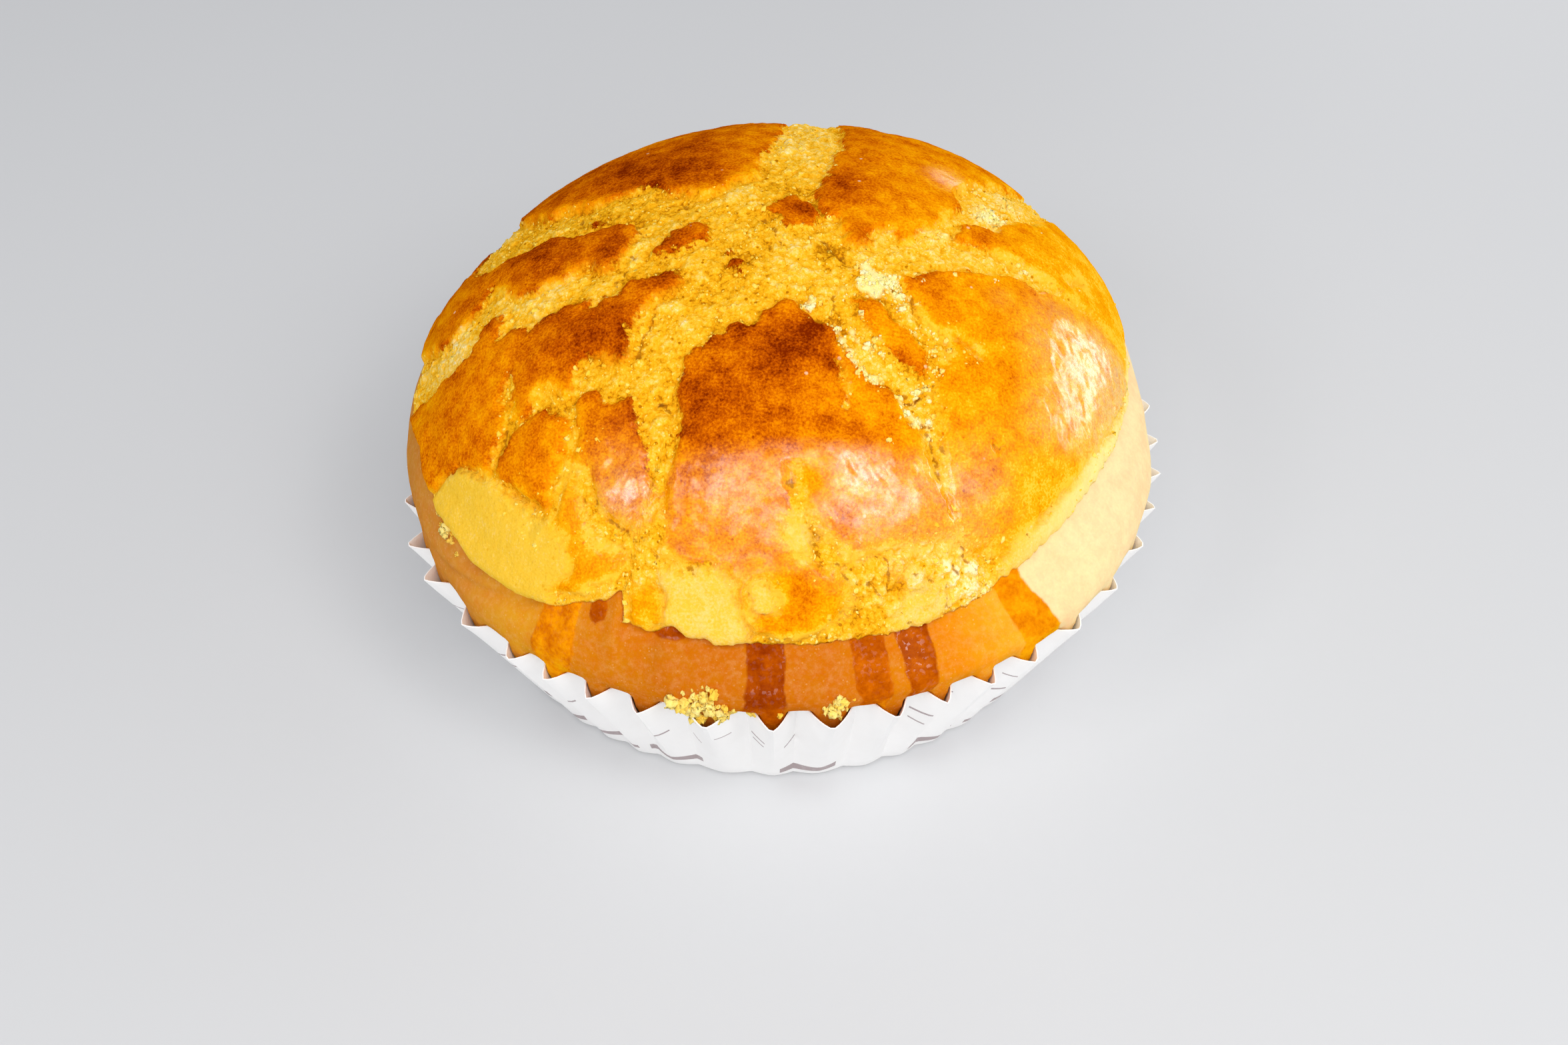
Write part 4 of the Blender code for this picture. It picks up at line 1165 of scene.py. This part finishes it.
def makeCrust():
    ringNumber = np.concatenate([np.full(6 * k, k) for k in range(crust["rings"], 0, -1)])
    azimuth = np.concatenate([2 * math.pi * np.arange(6 * k) / (6 * k) for k in range(crust["rings"], 0, -1)])
    evenEdge, raggedEdge = rimEdge(azimuth)
    arc = ringNumber / crust["rings"] * raggedEdge
    arc, azimuth = np.append(arc, 1e-6), np.append(azimuth, 0.0)
    fields = crustFields(arc, azimuth, np.append(raggedEdge, raggedEdge[-1]))
    outer = domePoints(arc, azimuth, fields["lift"])

    # the underside, from its middle out to where it tucks in below the rim
    rings = []
    for share, count in crust["underRings"][::-1]:
        turn = 2 * math.pi * np.arange(count) / count
        even = rimEdge(turn)[0]
        rings.append(domePoints(share * even, turn, crust["contact"] - bedDepth(share * even, even)))
    rimTurn = azimuth[:6 * crust["rings"]]
    rimArc = arc[:len(rimTurn)]
    for inset in crust["tuckIn"]:
        under = crust["contact"] - bedDepth(rimArc - inset, evenEdge[:len(rimTurn)])
        rings.append(domePoints(rimArc - inset, rimTurn, under))
    hidden = sum(len(ring) for ring in rings)
    starts = np.cumsum([0] + [6 * k for k in range(crust["rings"], 0, -1)])
    rings += [outer[start:end] for start, end in zip(starts, starts[1:])]
    underTop = domePoints(0.0, 0.0, crust["contact"] - crust["bedDepth"])
    mesh = stackMesh("crustSkin", rings, underTop, outer[-1])
    for name, values in fields.items():
        if name != "lift":
            blank = np.full(hidden, values.min())
            setMask(mesh, name, np.concatenate((blank, values[:-1], [values[-1]] * 2)))
    return addPiece("crust", mesh, cookieFinish)


crustPiece = makeCrust()
print("crust made,", len(crustPiece.data.polygons), "triangles")


def grow(name, holder, tree, values, after=()):
    # runs a Geometry Nodes tree on an object and gives the result as a plain piece
    modifier = holder.modifiers.new(name, "NODES")
    modifier.node_group = tree
    for socket in tree.interface.items_tree:
        if socket.in_out == "INPUT" and socket.name in values:
            modifier[socket.identifier] = values[socket.name]
    extra = [holder.modifiers.new(kind.lower(), kind) for kind, _ in after]
    for added, (_, settings) in zip(extra, after):
        for key, value in settings.items():
            setattr(added, key, value)
    evaluated = holder.evaluated_get(bpy.context.evaluated_depsgraph_get())
    mesh = bpy.data.meshes.new_from_object(evaluated)
    for used in (modifier, *extra):
        holder.modifiers.remove(used)
    return addPiece(name, mesh, None)


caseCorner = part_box("paper_case")[1] / mm
case = {
    "flutes": 44,
    "pointsPerFlute": 12,
    "rows": 60,
    "floorShare": 0.12,  # share of the rows that make the floor
    "baseRadius": 42.0,
    "rimRadius": caseCorner.x,
    "height": caseCorner.z,
    "baseFold": 0.6,
    "rimFold": 5.8,
    "rounding": 1.4,
    "drift": 0.30,  # how far the flutes stray from even spacing
    "waver": 0.5,
    "rimWaver": 0.9,
    "tuck": 2.6,  # how far the rim is pressed in on one side
    "tuckAzimuth": math.radians(-98),
    "tuckReach": math.radians(36),
    "seed": 3.0,
    "thickness": 0.15,
    "sharpFold": math.radians(32),  # folds sharper than this are shaded as edges
}
caseInMm = ("baseRadius", "rimRadius", "height", "baseFold", "rimFold", "waver", "rimWaver", "tuck")


def socketLabel(key):
    # a tree's socket for a dictionary's key: baseFold is Base Fold
    return "".join(" " + letter if letter.isupper() else letter for letter in key).title()


caseInputs = {
    socketLabel(key): value * mm if key in caseInMm else value
    for key, value in case.items() if key not in ("thickness", "sharpFold")
}


def flutedCupTree():
    w, given, out = newTree(
        "flutedCup",
        "GeometryNodeTree",
        (
            ("Geometry", "Geometry"),
            *((name, "Int" if isinstance(value, int) else "Float") for name, value in caseInputs.items()),
            ("Finish", "Material"),
        ),
        (("Geometry", "Geometry"),),
    )
    # a flat grid: x goes once round the cup, and y from the middle of the floor up to the rim
    columns = w.timesPlus(given["Flutes"], given["Points Per Flute"], 1.0)
    grid = w.result("GeometryNodeMeshGrid", {0: 1.0, 1: 1.0, 2: columns, 3: given["Rows"]})
    gridX, gridY, _ = w.split(w.result("GeometryNodeInputPosition"))
    turn = w.times(w.plus(gridX, 0.5), 2 * math.pi)
    rise = w.plus(gridY, 0.5)
    past = w.minus(rise, given["Floor Share"])
    up = w.over(past, w.minus(1.0, given["Floor Share"]), clamp=True)
    outwards = w.over(rise, given["Floor Share"], clamp=True)
    sine, cosine = w.calc("SINE", turn), w.calc("COSINE", turn)

    def stray(scale, height):
        # uneven value round the cup that meets itself at the seam, -0.5 to 0.5
        spot = w.xyz(sine, cosine, w.plus(given["Seed"], height))
        return w.minus(w.noise(spot, scale, 2.0), 0.5)

    # folds: 1 on the outer ones and 0 on the inner ones
    drift = w.times(stray(2.2, 0.0), w.times(given["Drift"], 4.0))
    flute = w.timesPlus(w.over(turn, 2 * math.pi), given["Flutes"], drift)
    phase = w.calc("FRACT", flute)
    inner = w.minus(1.0, w.calc("ABSOLUTE", w.timesPlus(phase, -2.0, 1.0)))
    fold = w.minus(1.0, w.calc("POWER", inner, given["Rounding"]))

    # the wall leans out to the rim, its outer folds waver, and one side is pressed in
    depth = w.blendValue(up, given["Base Fold"], given["Rim Fold"])
    radius = w.blendValue(up, given["Base Radius"], given["Rim Radius"])
    radius = w.minus(radius, w.times(depth, w.minus(1.0, fold)))
    wobble = w.times(stray(9.0, w.times(up, 0.25)), given["Waver"])
    radius = w.timesPlus(w.times(wobble, up), fold, radius)
    facing = w.calc("COSINE", w.minus(turn, given["Tuck Azimuth"]))
    pressed = w.ramp(facing, w.calc("COSINE", given["Tuck Reach"]), 1.0)
    radius = w.timesPlus(w.times(pressed, up), w.times(given["Tuck"], -1.0), radius)
    radius = w.times(radius, outwards)

    # the rim's tips stand at uneven heights
    tip = w.times(stray(14.0, 3.0), given["Rim Waver"])
    tip = w.minus(tip, w.times(given["Rim Waver"], 0.25))
    height = w.times(given["Height"], up)
    height = w.timesPlus(tip, w.calc("POWER", up, 6.0), height)
    spot = w.xyz(w.times(radius, sine), w.times(w.times(radius, cosine), -1.0), height)
    placed = w.result("GeometryNodeSetPosition", {"Geometry": grid, "Position": spot})
    closed = w.result("GeometryNodeMergeByDistance", {0: placed, "Distance": 0.001 * mm})
    whole = w.result("GeometryNodeRealizeInstances", {0: closed})
    dressed = w.result("GeometryNodeSetMaterial", {0: whole, "Material": given["Finish"]})
    w.feed(out["Geometry"], dressed)
    return w.tree


def makeCase():
    holder = addPiece("caseHolder", bpy.data.meshes.new("caseHolder"), None)
    values = {**caseInputs, "Finish": caseFinish}
    paper = ("SOLIDIFY", {"thickness": case["thickness"] * mm, "offset": -1.0})
    piece = grow("case_paper", holder, flutedCupTree(), values, after=(paper,))
    bpy.data.objects.remove(holder)
    piece.data.shade_smooth()
    piece.data.set_sharp_from_angle(angle=case["sharpFold"])
    return piece


casePiece = makeCase()
print("case made,", len(casePiece.data.polygons), "faces")


bread = {
    "around": 720,
    "sideRows": 56,
    "hiddenPoints": 144,
    "baseZ": 0.7,
    "baseInset": 2.0,
    "hiddenHeights": (3.0, 8.0, 13.0, 16.5),
    "pressedHeights": (18.0, 19.6, 20.8, 21.8, 22.6, 23.2, 23.8, 24.4, 25.0),
    "paperGap": 0.3,
    "foldGap": 0.6,
    "rimPress": (23.2, 2.0),  # height from which the paper's press fades, and over how much
    "bedShares": (0.8, 0.55, 0.3),
    "narrowing": 0.02,  # how fast it narrows below its widest
    "sideTop": 1.25,  # where the side ends: 0 is at the widest, and 1 under the crust's edge
    "heldUntil": 0.2,  # up to here the paper can press on it
    "waves": 0.16,
    "swell": 0.1,  # how far the run-down egg wash stands out
    "thinning": (0.32, 67, 6),  # how much paler it gets at its foot, from which arc, over how much
    "creases": (  # depth, half width, line by azimuth and arc
        (0.6, 0.8, ((-66, 68), (-57, 67.6), (-52, 66.6), (-46, 65.4), (-40, 63.8), (-37, 62.4))),
        (0.3, 0.9, ((47.5, 62), (53, 63.2), (60, 66))),
        (0.25, 0.9, ((-62, 64.5), (-54, 64.2), (-48, 63))),
    ),
}
# the bread's reach from the axis where it bulges over the case's rim, by azimuth in degrees
bulgeTable = (
    (-180, 51.8), (-120, 51.0), (-90, 50.8), (-72, 51.2), (-57, 51.9), (-45, 52.4), (-20, 52.0),
    (0, 51.8), (30, 52.2), (56, 52.9), (74, 52.7), (86, 51.7), (96, 50.9), (110, 50.6), (140, 51.2),
    (180, 51.8),
)
# egg wash that ran down: tone from dark to yellow, wetness, outline by azimuth and arc
drips = (
    (0.30, 1.0, [(-4.4, 59), (1.7, 59), (1.4, 66), (1.6, 71), (0.8, 74), (-1.6, 75), (-3.8, 73.6),
                 (-4.5, 70), (-3.9, 65)]),
    (0.5, 0.3, [(10.6, 59), (16.2, 59), (16.2, 67), (15.4, 71), (13.8, 73.2), (12.2, 71), (11, 66)]),
    (0.42, 1.0, [(17.6, 59), (23.8, 59), (22.8, 67), (22, 71), (20.6, 73.4), (19, 71.6), (18.2, 66)]),
    (0.8, 0.0, [(34.6, 56), (41.5, 56), (40.4, 62), (42, 66), (45, 71), (46.5, 80), (37.4, 80), (37, 71),
                (35.4, 63)]),
    (0.74, 0.3, [(-35, 59), (-29, 59), (-28.4, 66), (-29.6, 72), (-34.4, 73), (-35.4, 67)]),
    (0.5, 1.0, [(-27.6, 58.2), (-26, 57.4), (-24.5, 58.6), (-24.4, 60.2), (-26, 61.2), (-27.4, 60.2)]),
    (0.4, 1.0, [(-19, 59.2), (-13, 59), (-12.8, 60.6), (-14.4, 61.2), (-17.6, 61)]),
)
paleFrom = ((58, 36.0), (61, 37.5), (66, 40.5), (71, 43.5), (78, 47.0))  # arc, azimuth of its border
paleUntil = (150, 172)
rimCrumbs = (  # azimuth, height, reach, amount
    (-10.5, 25.2, 1.8, 1.0), (-7.6, 24.8, 1.1, 0.9), (-13, 25.6, 1.0, 0.7), (-9, 27.0, 0.9, 0.6),
    (-3.2, 24.0, 0.6, 0.5), (0.4, 24.0, 0.5, 0.5), (8.4, 25.4, 1.2, 1.0), (-57, 32.0, 1.0, 1.0),
    (-55, 31.0, 0.8, 0.9), (-60, 33.2, 0.6, 0.6),
)


def breadFields(arc, azimuth, at):
    degrees = wrapped(azimuth)
    perDegree = math.radians(bun["radius"])  # millimetres round the side
    across = degrees * perDegree
    alongside = across + 0.25 * hills(at, 1.6, 21)
    down = arc + 0.3 * hills(at, 2.2, 22)

    def inMm(line):
        return [(turn * perDegree, way) for turn, way in line]

    drip = np.full(arc.shape, -4.0)
    dripTone, dripWet = np.full(arc.shape, 0.5), np.zeros(arc.shape)
    paler, *foot = bread["thinning"]
    thinning = paler * fadeIn(arc, *foot)
    for tone, wetness, outline in drips:
        inside = insideDistance(alongside, down, inMm(outline))
        nearest = inside > drip
        dripTone[nearest], dripWet[nearest] = tone + thinning[nearest], wetness
        drip = np.maximum(drip, inside)
    lift = bread["waves"] * hills(at * (1, 1, 2.2), 9, 23) + 0.03 * hills(at, 2.0, 24)
    lift += bread["swell"] * softStep((drip + 0.1) / 0.9)
    for depth, halfWidth, line in bread["creases"]:
        lift -= depth * np.exp(-(lineDistance(across, arc, inMm(line)) / halfWidth) ** 2)

    stops = [stop for stop, _ in breadLook["skin"]]
    codes = np.array([rgb(code) for _, code in breadLook["skin"]])
    skin = np.stack([np.interp(degrees, stops, codes[:, i]) for i in range(4)], -1)
    border = np.interp(arc, *zip(*paleFrom)) + 1.2 * hills(at, 6, 25)
    isPale = softStep((degrees - border) / 2.5 + 0.5)
    isPale *= 1 - softStep((degrees - paleUntil[0]) / (paleUntil[1] - paleUntil[0]))
    skin = mixed(skin, np.array(rgb(breadLook["pale"])), isPale[:, None] * 0.9)
    crumbs = spotted(across, at[:, 2], [(turn * perDegree, *rest) for turn, *rest in rimCrumbs])
    return lift, skin, {
        "drip": np.clip(drip, -4, 4),
        "dripTone": dripTone,
        "dripWet": dripWet,
        "crumbs": np.clip(crumbs, 0, 1),
        "heap": np.clip(crumbs, 0, 1) * 0.25,
        "toast": np.full(arc.shape, 0.2),
    }


def pressedInto(paper, points, azimuth):
    # points of the bread, held back by the paper's inner side at and under its rim
    fadeFrom = bread["rimPress"][0]
    held = points.copy()
    for i, (point, turn) in enumerate(zip(points, azimuth)):
        outwards = Vector((math.sin(turn), -math.cos(turn), 0))
        hit = paper.ray_cast(Vector((0, 0, min(point[2], fadeFrom))) * mm, outwards)[3]
        reach = math.hypot(point[0], point[1])
        if hit is None or hit / mm - bread["paperGap"] > reach:
            continue
        free = fadeIn(point[2], *bread["rimPress"])
        held[i, :2] *= mixed((hit / mm - bread["paperGap"]) / reach, 1.0, free)
    return held


def makeBread():
    paper = BVHTree.FromPolygons(
        [v.co for v in casePiece.data.vertices], [tuple(p.vertices) for p in casePiece.data.polygons]
    )
    around = 2 * math.pi * np.arange(bread["around"]) / bread["around"]
    few = 2 * math.pi * np.arange(bread["hiddenPoints"]) / bread["hiddenPoints"]
    bulge = easedTable(bulgeTable, wrapped(around))
    rings = [ringPoints(case["baseRadius"] - bread["baseInset"], few, bread["baseZ"])]
    for z in bread["hiddenHeights"]:
        foot, rim = case["baseRadius"] - case["baseFold"], case["rimRadius"] - case["rimFold"]
        wall = mixed(foot, rim, z / case["height"])
        rings.append(pressedInto(paper, ringPoints(wall - bread["foldGap"], few, z), few))
    hidden = sum(len(ring) for ring in rings)
    edge = rimEdge(around)[0]
    shown = []
    for z in bread["pressedHeights"]:
        arc = np.full(around.shape, widestArc + bun["widestZ"] - z)
        lift, skin, masks = breadFields(arc, around, ringPoints(bulge, around, z))
        free = ringPoints(bulge + lift - bread["narrowing"] * (bun["widestZ"] - z) ** 2, around, z)
        rings.append(pressedInto(paper, free, around))
        shown.append((skin, masks))
    for row in range(bread["sideRows"]):
        share = row / (bread["sideRows"] - 1) * bread["sideTop"]
        arc = widestArc + (edge - widestArc) * share
        at = domePoints(arc, around, 0.0)
        lift, skin, masks = breadFields(arc, around, at)
        swollen = domePoints(arc, around, lift - bedDepth(arc, edge))
        widest = domePoints(widestArc, around, 0.0)
        extra = (bulge - np.hypot(widest[:, 0], widest[:, 1])) * softStep(1 - share) ** 0.8
        swollen += ringPoints(extra, around, 0.0)
        rings.append(pressedInto(paper, swollen, around) if share < bread["heldUntil"] else swollen)
        shown.append((skin, masks))
    for share in bread["bedShares"]:
        even = rimEdge(few)[0]
        rings.append(domePoints(share * even, few, -bedDepth(share * even, even)))
    mesh = stackMesh("breadSkin", rings, (0, 0, bread["baseZ"]), domePoints(0.0, 0.0, -crust["bedDepth"]))
    for name in shown[0][1]:
        values = np.concatenate([masks[name] for _, masks in shown])
        setMask(mesh, name, np.concatenate((np.full(hidden, values.min()), values)))
    skins = np.zeros((len(mesh.vertices), 4))
    skins[:] = rgb(breadLook["skin"][1][1])
    allSkin = np.concatenate([skin for skin, _ in shown])
    skins[hidden:hidden + len(allSkin)] = allSkin
    mesh.attributes.new("skin", "FLOAT_COLOR", "POINT").data.foreach_set("color", skins.ravel())
    return addPiece("bread_side", mesh, bakedFinish)


breadPiece = makeBread()
print("bread made,", len(breadPiece.data.polygons), "triangles")


def crumbTree():
    w, given, out = newTree(
        "strewnCrumbs",
        "GeometryNodeTree",
        (
            ("Geometry", "Geometry"), ("Mask", "String"), ("Per Square Metre", "Float"),
            ("Smallest", "Float"), ("Largest", "Float"), ("Proud", "Float"), ("Fineness", "Int"),
            ("Seed", "Int"), ("Finish", "Material"),
        ),
        (("Geometry", "Geometry"),),
    )
    mask = w.result("GeometryNodeInputNamedAttribute", {"Name": given["Mask"]}, data_type="FLOAT")
    spread = w.add(
        "GeometryNodeDistributePointsOnFaces",
        {
            "Mesh": given["Geometry"],
            "Density": w.times(mask, given["Per Square Metre"]),
            "Seed": given["Seed"],
        },
        distribute_method="RANDOM",
    )

    def chance(offset, low=0.0, high=1.0):
        inputs = {2: low, 3: high, "Seed": w.plus(given["Seed"], float(offset))}
        return w.add("FunctionNodeRandomValue", inputs, data_type="FLOAT").outputs[1]

    size = w.blendValue(w.calc("POWER", chance(1), 2.2), given["Smallest"], given["Largest"])
    lifted = w.stretched(spread.outputs["Normal"], w.times(size, given["Proud"]))
    spots = w.result("GeometryNodeSetPosition", {"Geometry": spread.outputs["Points"], "Offset": lifted})
    store = {"Geometry": spots, "Name": "shade", "Value": chance(2, 0.25, 0.9)}
    spots = w.result("GeometryNodeStoreNamedAttribute", store, data_type="FLOAT", domain="POINT")

    shapes = w.add("GeometryNodeGeometryToInstance")
    for kind in range(3):  # three crumb shapes, knocked out of round
        ball = w.result("GeometryNodeMeshIcoSphere", {"Radius": 0.5, "Subdivisions": given["Fineness"]})
        spot = w.vector("ADD", w.result("GeometryNodeInputPosition"), (kind * 5.1, 2.3, kind * 1.7))
        knock = w.vector("MULTIPLY", w.bend(spot, 2.2), (1.5, 1.5, 1.5))
        crumb = w.result("GeometryNodeSetPosition", {"Geometry": ball, "Offset": knock})
        w.tree.links.new(crumb, shapes.inputs[0])
    anyTurn = {0: (0.0, 0.0, 0.0), 1: (6.28, 6.28, 6.28), "Seed": w.plus(given["Seed"], 3.0)}
    turn = w.result("FunctionNodeRandomValue", anyTurn, data_type="FLOAT_VECTOR")
    turned = w.result("FunctionNodeEulerToRotation", {0: turn})
    scale = w.xyz(size, w.times(size, chance(4, 0.6, 1.0)), w.times(size, chance(5, 0.6, 1.0)))
    anyKind = {4: 0, 5: 2, "Seed": w.plus(given["Seed"], 6.0)}
    kindNumber = w.add("FunctionNodeRandomValue", anyKind, data_type="INT")
    placed = w.result(
        "GeometryNodeInstanceOnPoints",
        {
            "Points": spots,
            "Instance": shapes.outputs[0],
            "Pick Instance": True,
            "Instance Index": kindNumber.outputs[2],
            "Rotation": turned,
            "Scale": scale,
        },
    )
    whole = w.result("GeometryNodeRealizeInstances", {0: placed})
    smooth = w.result("GeometryNodeSetShadeSmooth", {0: whole})
    dressed = w.result("GeometryNodeSetMaterial", {0: smooth, "Material": given["Finish"]})
    w.feed(out["Geometry"], dressed)
    return w.tree


crumbSorts = {
    "crumb_grains": (crustPiece, {
        "Mask": "grains", "Per Square Metre": 0.9e6, "Smallest": 0.25 * mm, "Largest": 0.6 * mm,
        "Proud": -0.25, "Fineness": 1, "Seed": 11, "Finish": looseFinish,
    }),
    "crumb_lumps": (crustPiece, {
        "Mask": "grains", "Per Square Metre": 0.13e6, "Smallest": 0.5 * mm, "Largest": 1.1 * mm,
        "Proud": -0.3, "Fineness": 2, "Seed": 23, "Finish": looseFinish,
    }),
    "crumb_loose": (crustPiece, {
        "Mask": "heap", "Per Square Metre": 4.0e6, "Smallest": 0.25 * mm, "Largest": 0.9 * mm,
        "Proud": 0.0, "Fineness": 2, "Seed": 37, "Finish": looseFinish,
    }),
    "crumb_rim": (breadPiece, {
        "Mask": "crumbs", "Per Square Metre": 4.4e6, "Smallest": 0.4 * mm, "Largest": 1.7 * mm,
        "Proud": 0.15, "Fineness": 3, "Seed": 51, "Finish": looseFinish,
    }),
}
strewn = crumbTree()
crumbPieces = [grow(name, carrier, strewn, values) for name, (carrier, values) in crumbSorts.items()]
for piece in crumbPieces:
    print(piece.name, "made,", len(piece.data.polygons), "triangles")


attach(crustPiece, "root")
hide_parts("cookie_crust")
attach(breadPiece, "root")
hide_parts("bread")
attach(casePiece, "root")
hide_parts("paper_case")
for piece in crumbPieces:
    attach(piece, "root")


studio = {
    "floorColour": "D2D3D5",
    "floorHalf": 3.0,
    "surround": ("EEF0F4", 0.58),
    "lights": {  # direction from the bun, distance, width, height, power, colour
        "overhead": ((0.16, -0.54, 0.83), 0.62, 0.60, 0.34, 1.79, "FFFDFA"),
        "front": ((-0.15, -0.95, 0.25), 0.65, 0.50, 0.20, 0.62, "FFFFFF"),
        "lamp": ((0.40, -0.46, 0.79), 0.60, 0.12, 0.10, 0.2, "FFFFFF"),
        "frontRight": ((0.48, -0.66, 0.56), 0.60, 0.34, 0.20, 0.36, "FFFDFA"),
        "right": ((0.85, -0.20, 0.48), 0.60, 0.26, 0.26, 0.18, "FFFFFF"),
        "window": ((0.92, 0.38, 0.06), 0.60, 0.30, 0.16, 0.62, "FFFFFF"),
        "backWindow": ((0.42, 0.90, 0.12), 0.60, 0.20, 0.15, 0.4, "FFFFFF"),
        "leftCeiling": ((-0.55, -0.50, 0.67), 0.62, 0.17, 0.17, 0.46, "FFFDFA"),
    },
    "lookAt": (0.0, 0.0, 0.03),
}
camera = {
    "place": (1.286, -225.47, 232.24),
    "down": 45.04,  # degrees below the horizon
    "sensor": 36.0,
    "lens": 49.99,
}


def makeStudio():
    half = studio["floorHalf"]
    mesh = bpy.data.meshes.new("floor")
    corners = [(-half, -half, 0), (half, -half, 0), (half, half, 0), (-half, half, 0)]
    mesh.from_pydata(corners, [], [(0, 1, 2, 3)])
    finish = newFinish("floorWhite", **{"Base Color": rgb(studio["floorColour"]), "Roughness": 0.6})[0]
    addPiece("floor", mesh, finish)
    world = bpy.data.worlds.new("surround")
    bpy.context.scene.world = world
    world.use_nodes = True
    sky = world.node_tree.nodes["Background"].inputs
    sky["Color"].default_value = rgb(studio["surround"][0])
    sky["Strength"].default_value = studio["surround"][1]
    target = Vector(studio["lookAt"])
    for name, (direction, away, width, height, power, code) in studio["lights"].items():
        lamp = bpy.data.lights.new(name, "AREA")
        lamp.shape = "RECTANGLE"
        lamp.size, lamp.size_y = width, height
        lamp.energy = power
        lamp.color = rgb(code)[:3]
        placed = bpy.data.objects.new(name, lamp)
        placed.location = target + Vector(direction).normalized() * away
        placed.rotation_euler = (placed.location - target).to_track_quat("Z", "Y").to_euler()
        bpy.context.scene.collection.objects.link(placed)


def makeCamera():
    seen = bpy.data.cameras.new("camera")
    seen.sensor_width = camera["sensor"]
    seen.lens = camera["lens"]
    placed = bpy.data.objects.new("camera", seen)
    placed.location = Vector(camera["place"]) * mm
    placed.rotation_euler = (math.radians(90 - camera["down"]), 0, 0)
    bpy.context.scene.collection.objects.link(placed)
    bpy.context.scene.camera = placed


makeStudio()
makeCamera()
bpy.context.scene.view_settings.view_transform = "Standard"
bpy.context.scene.view_settings.look = "None"
print("studio and camera made")
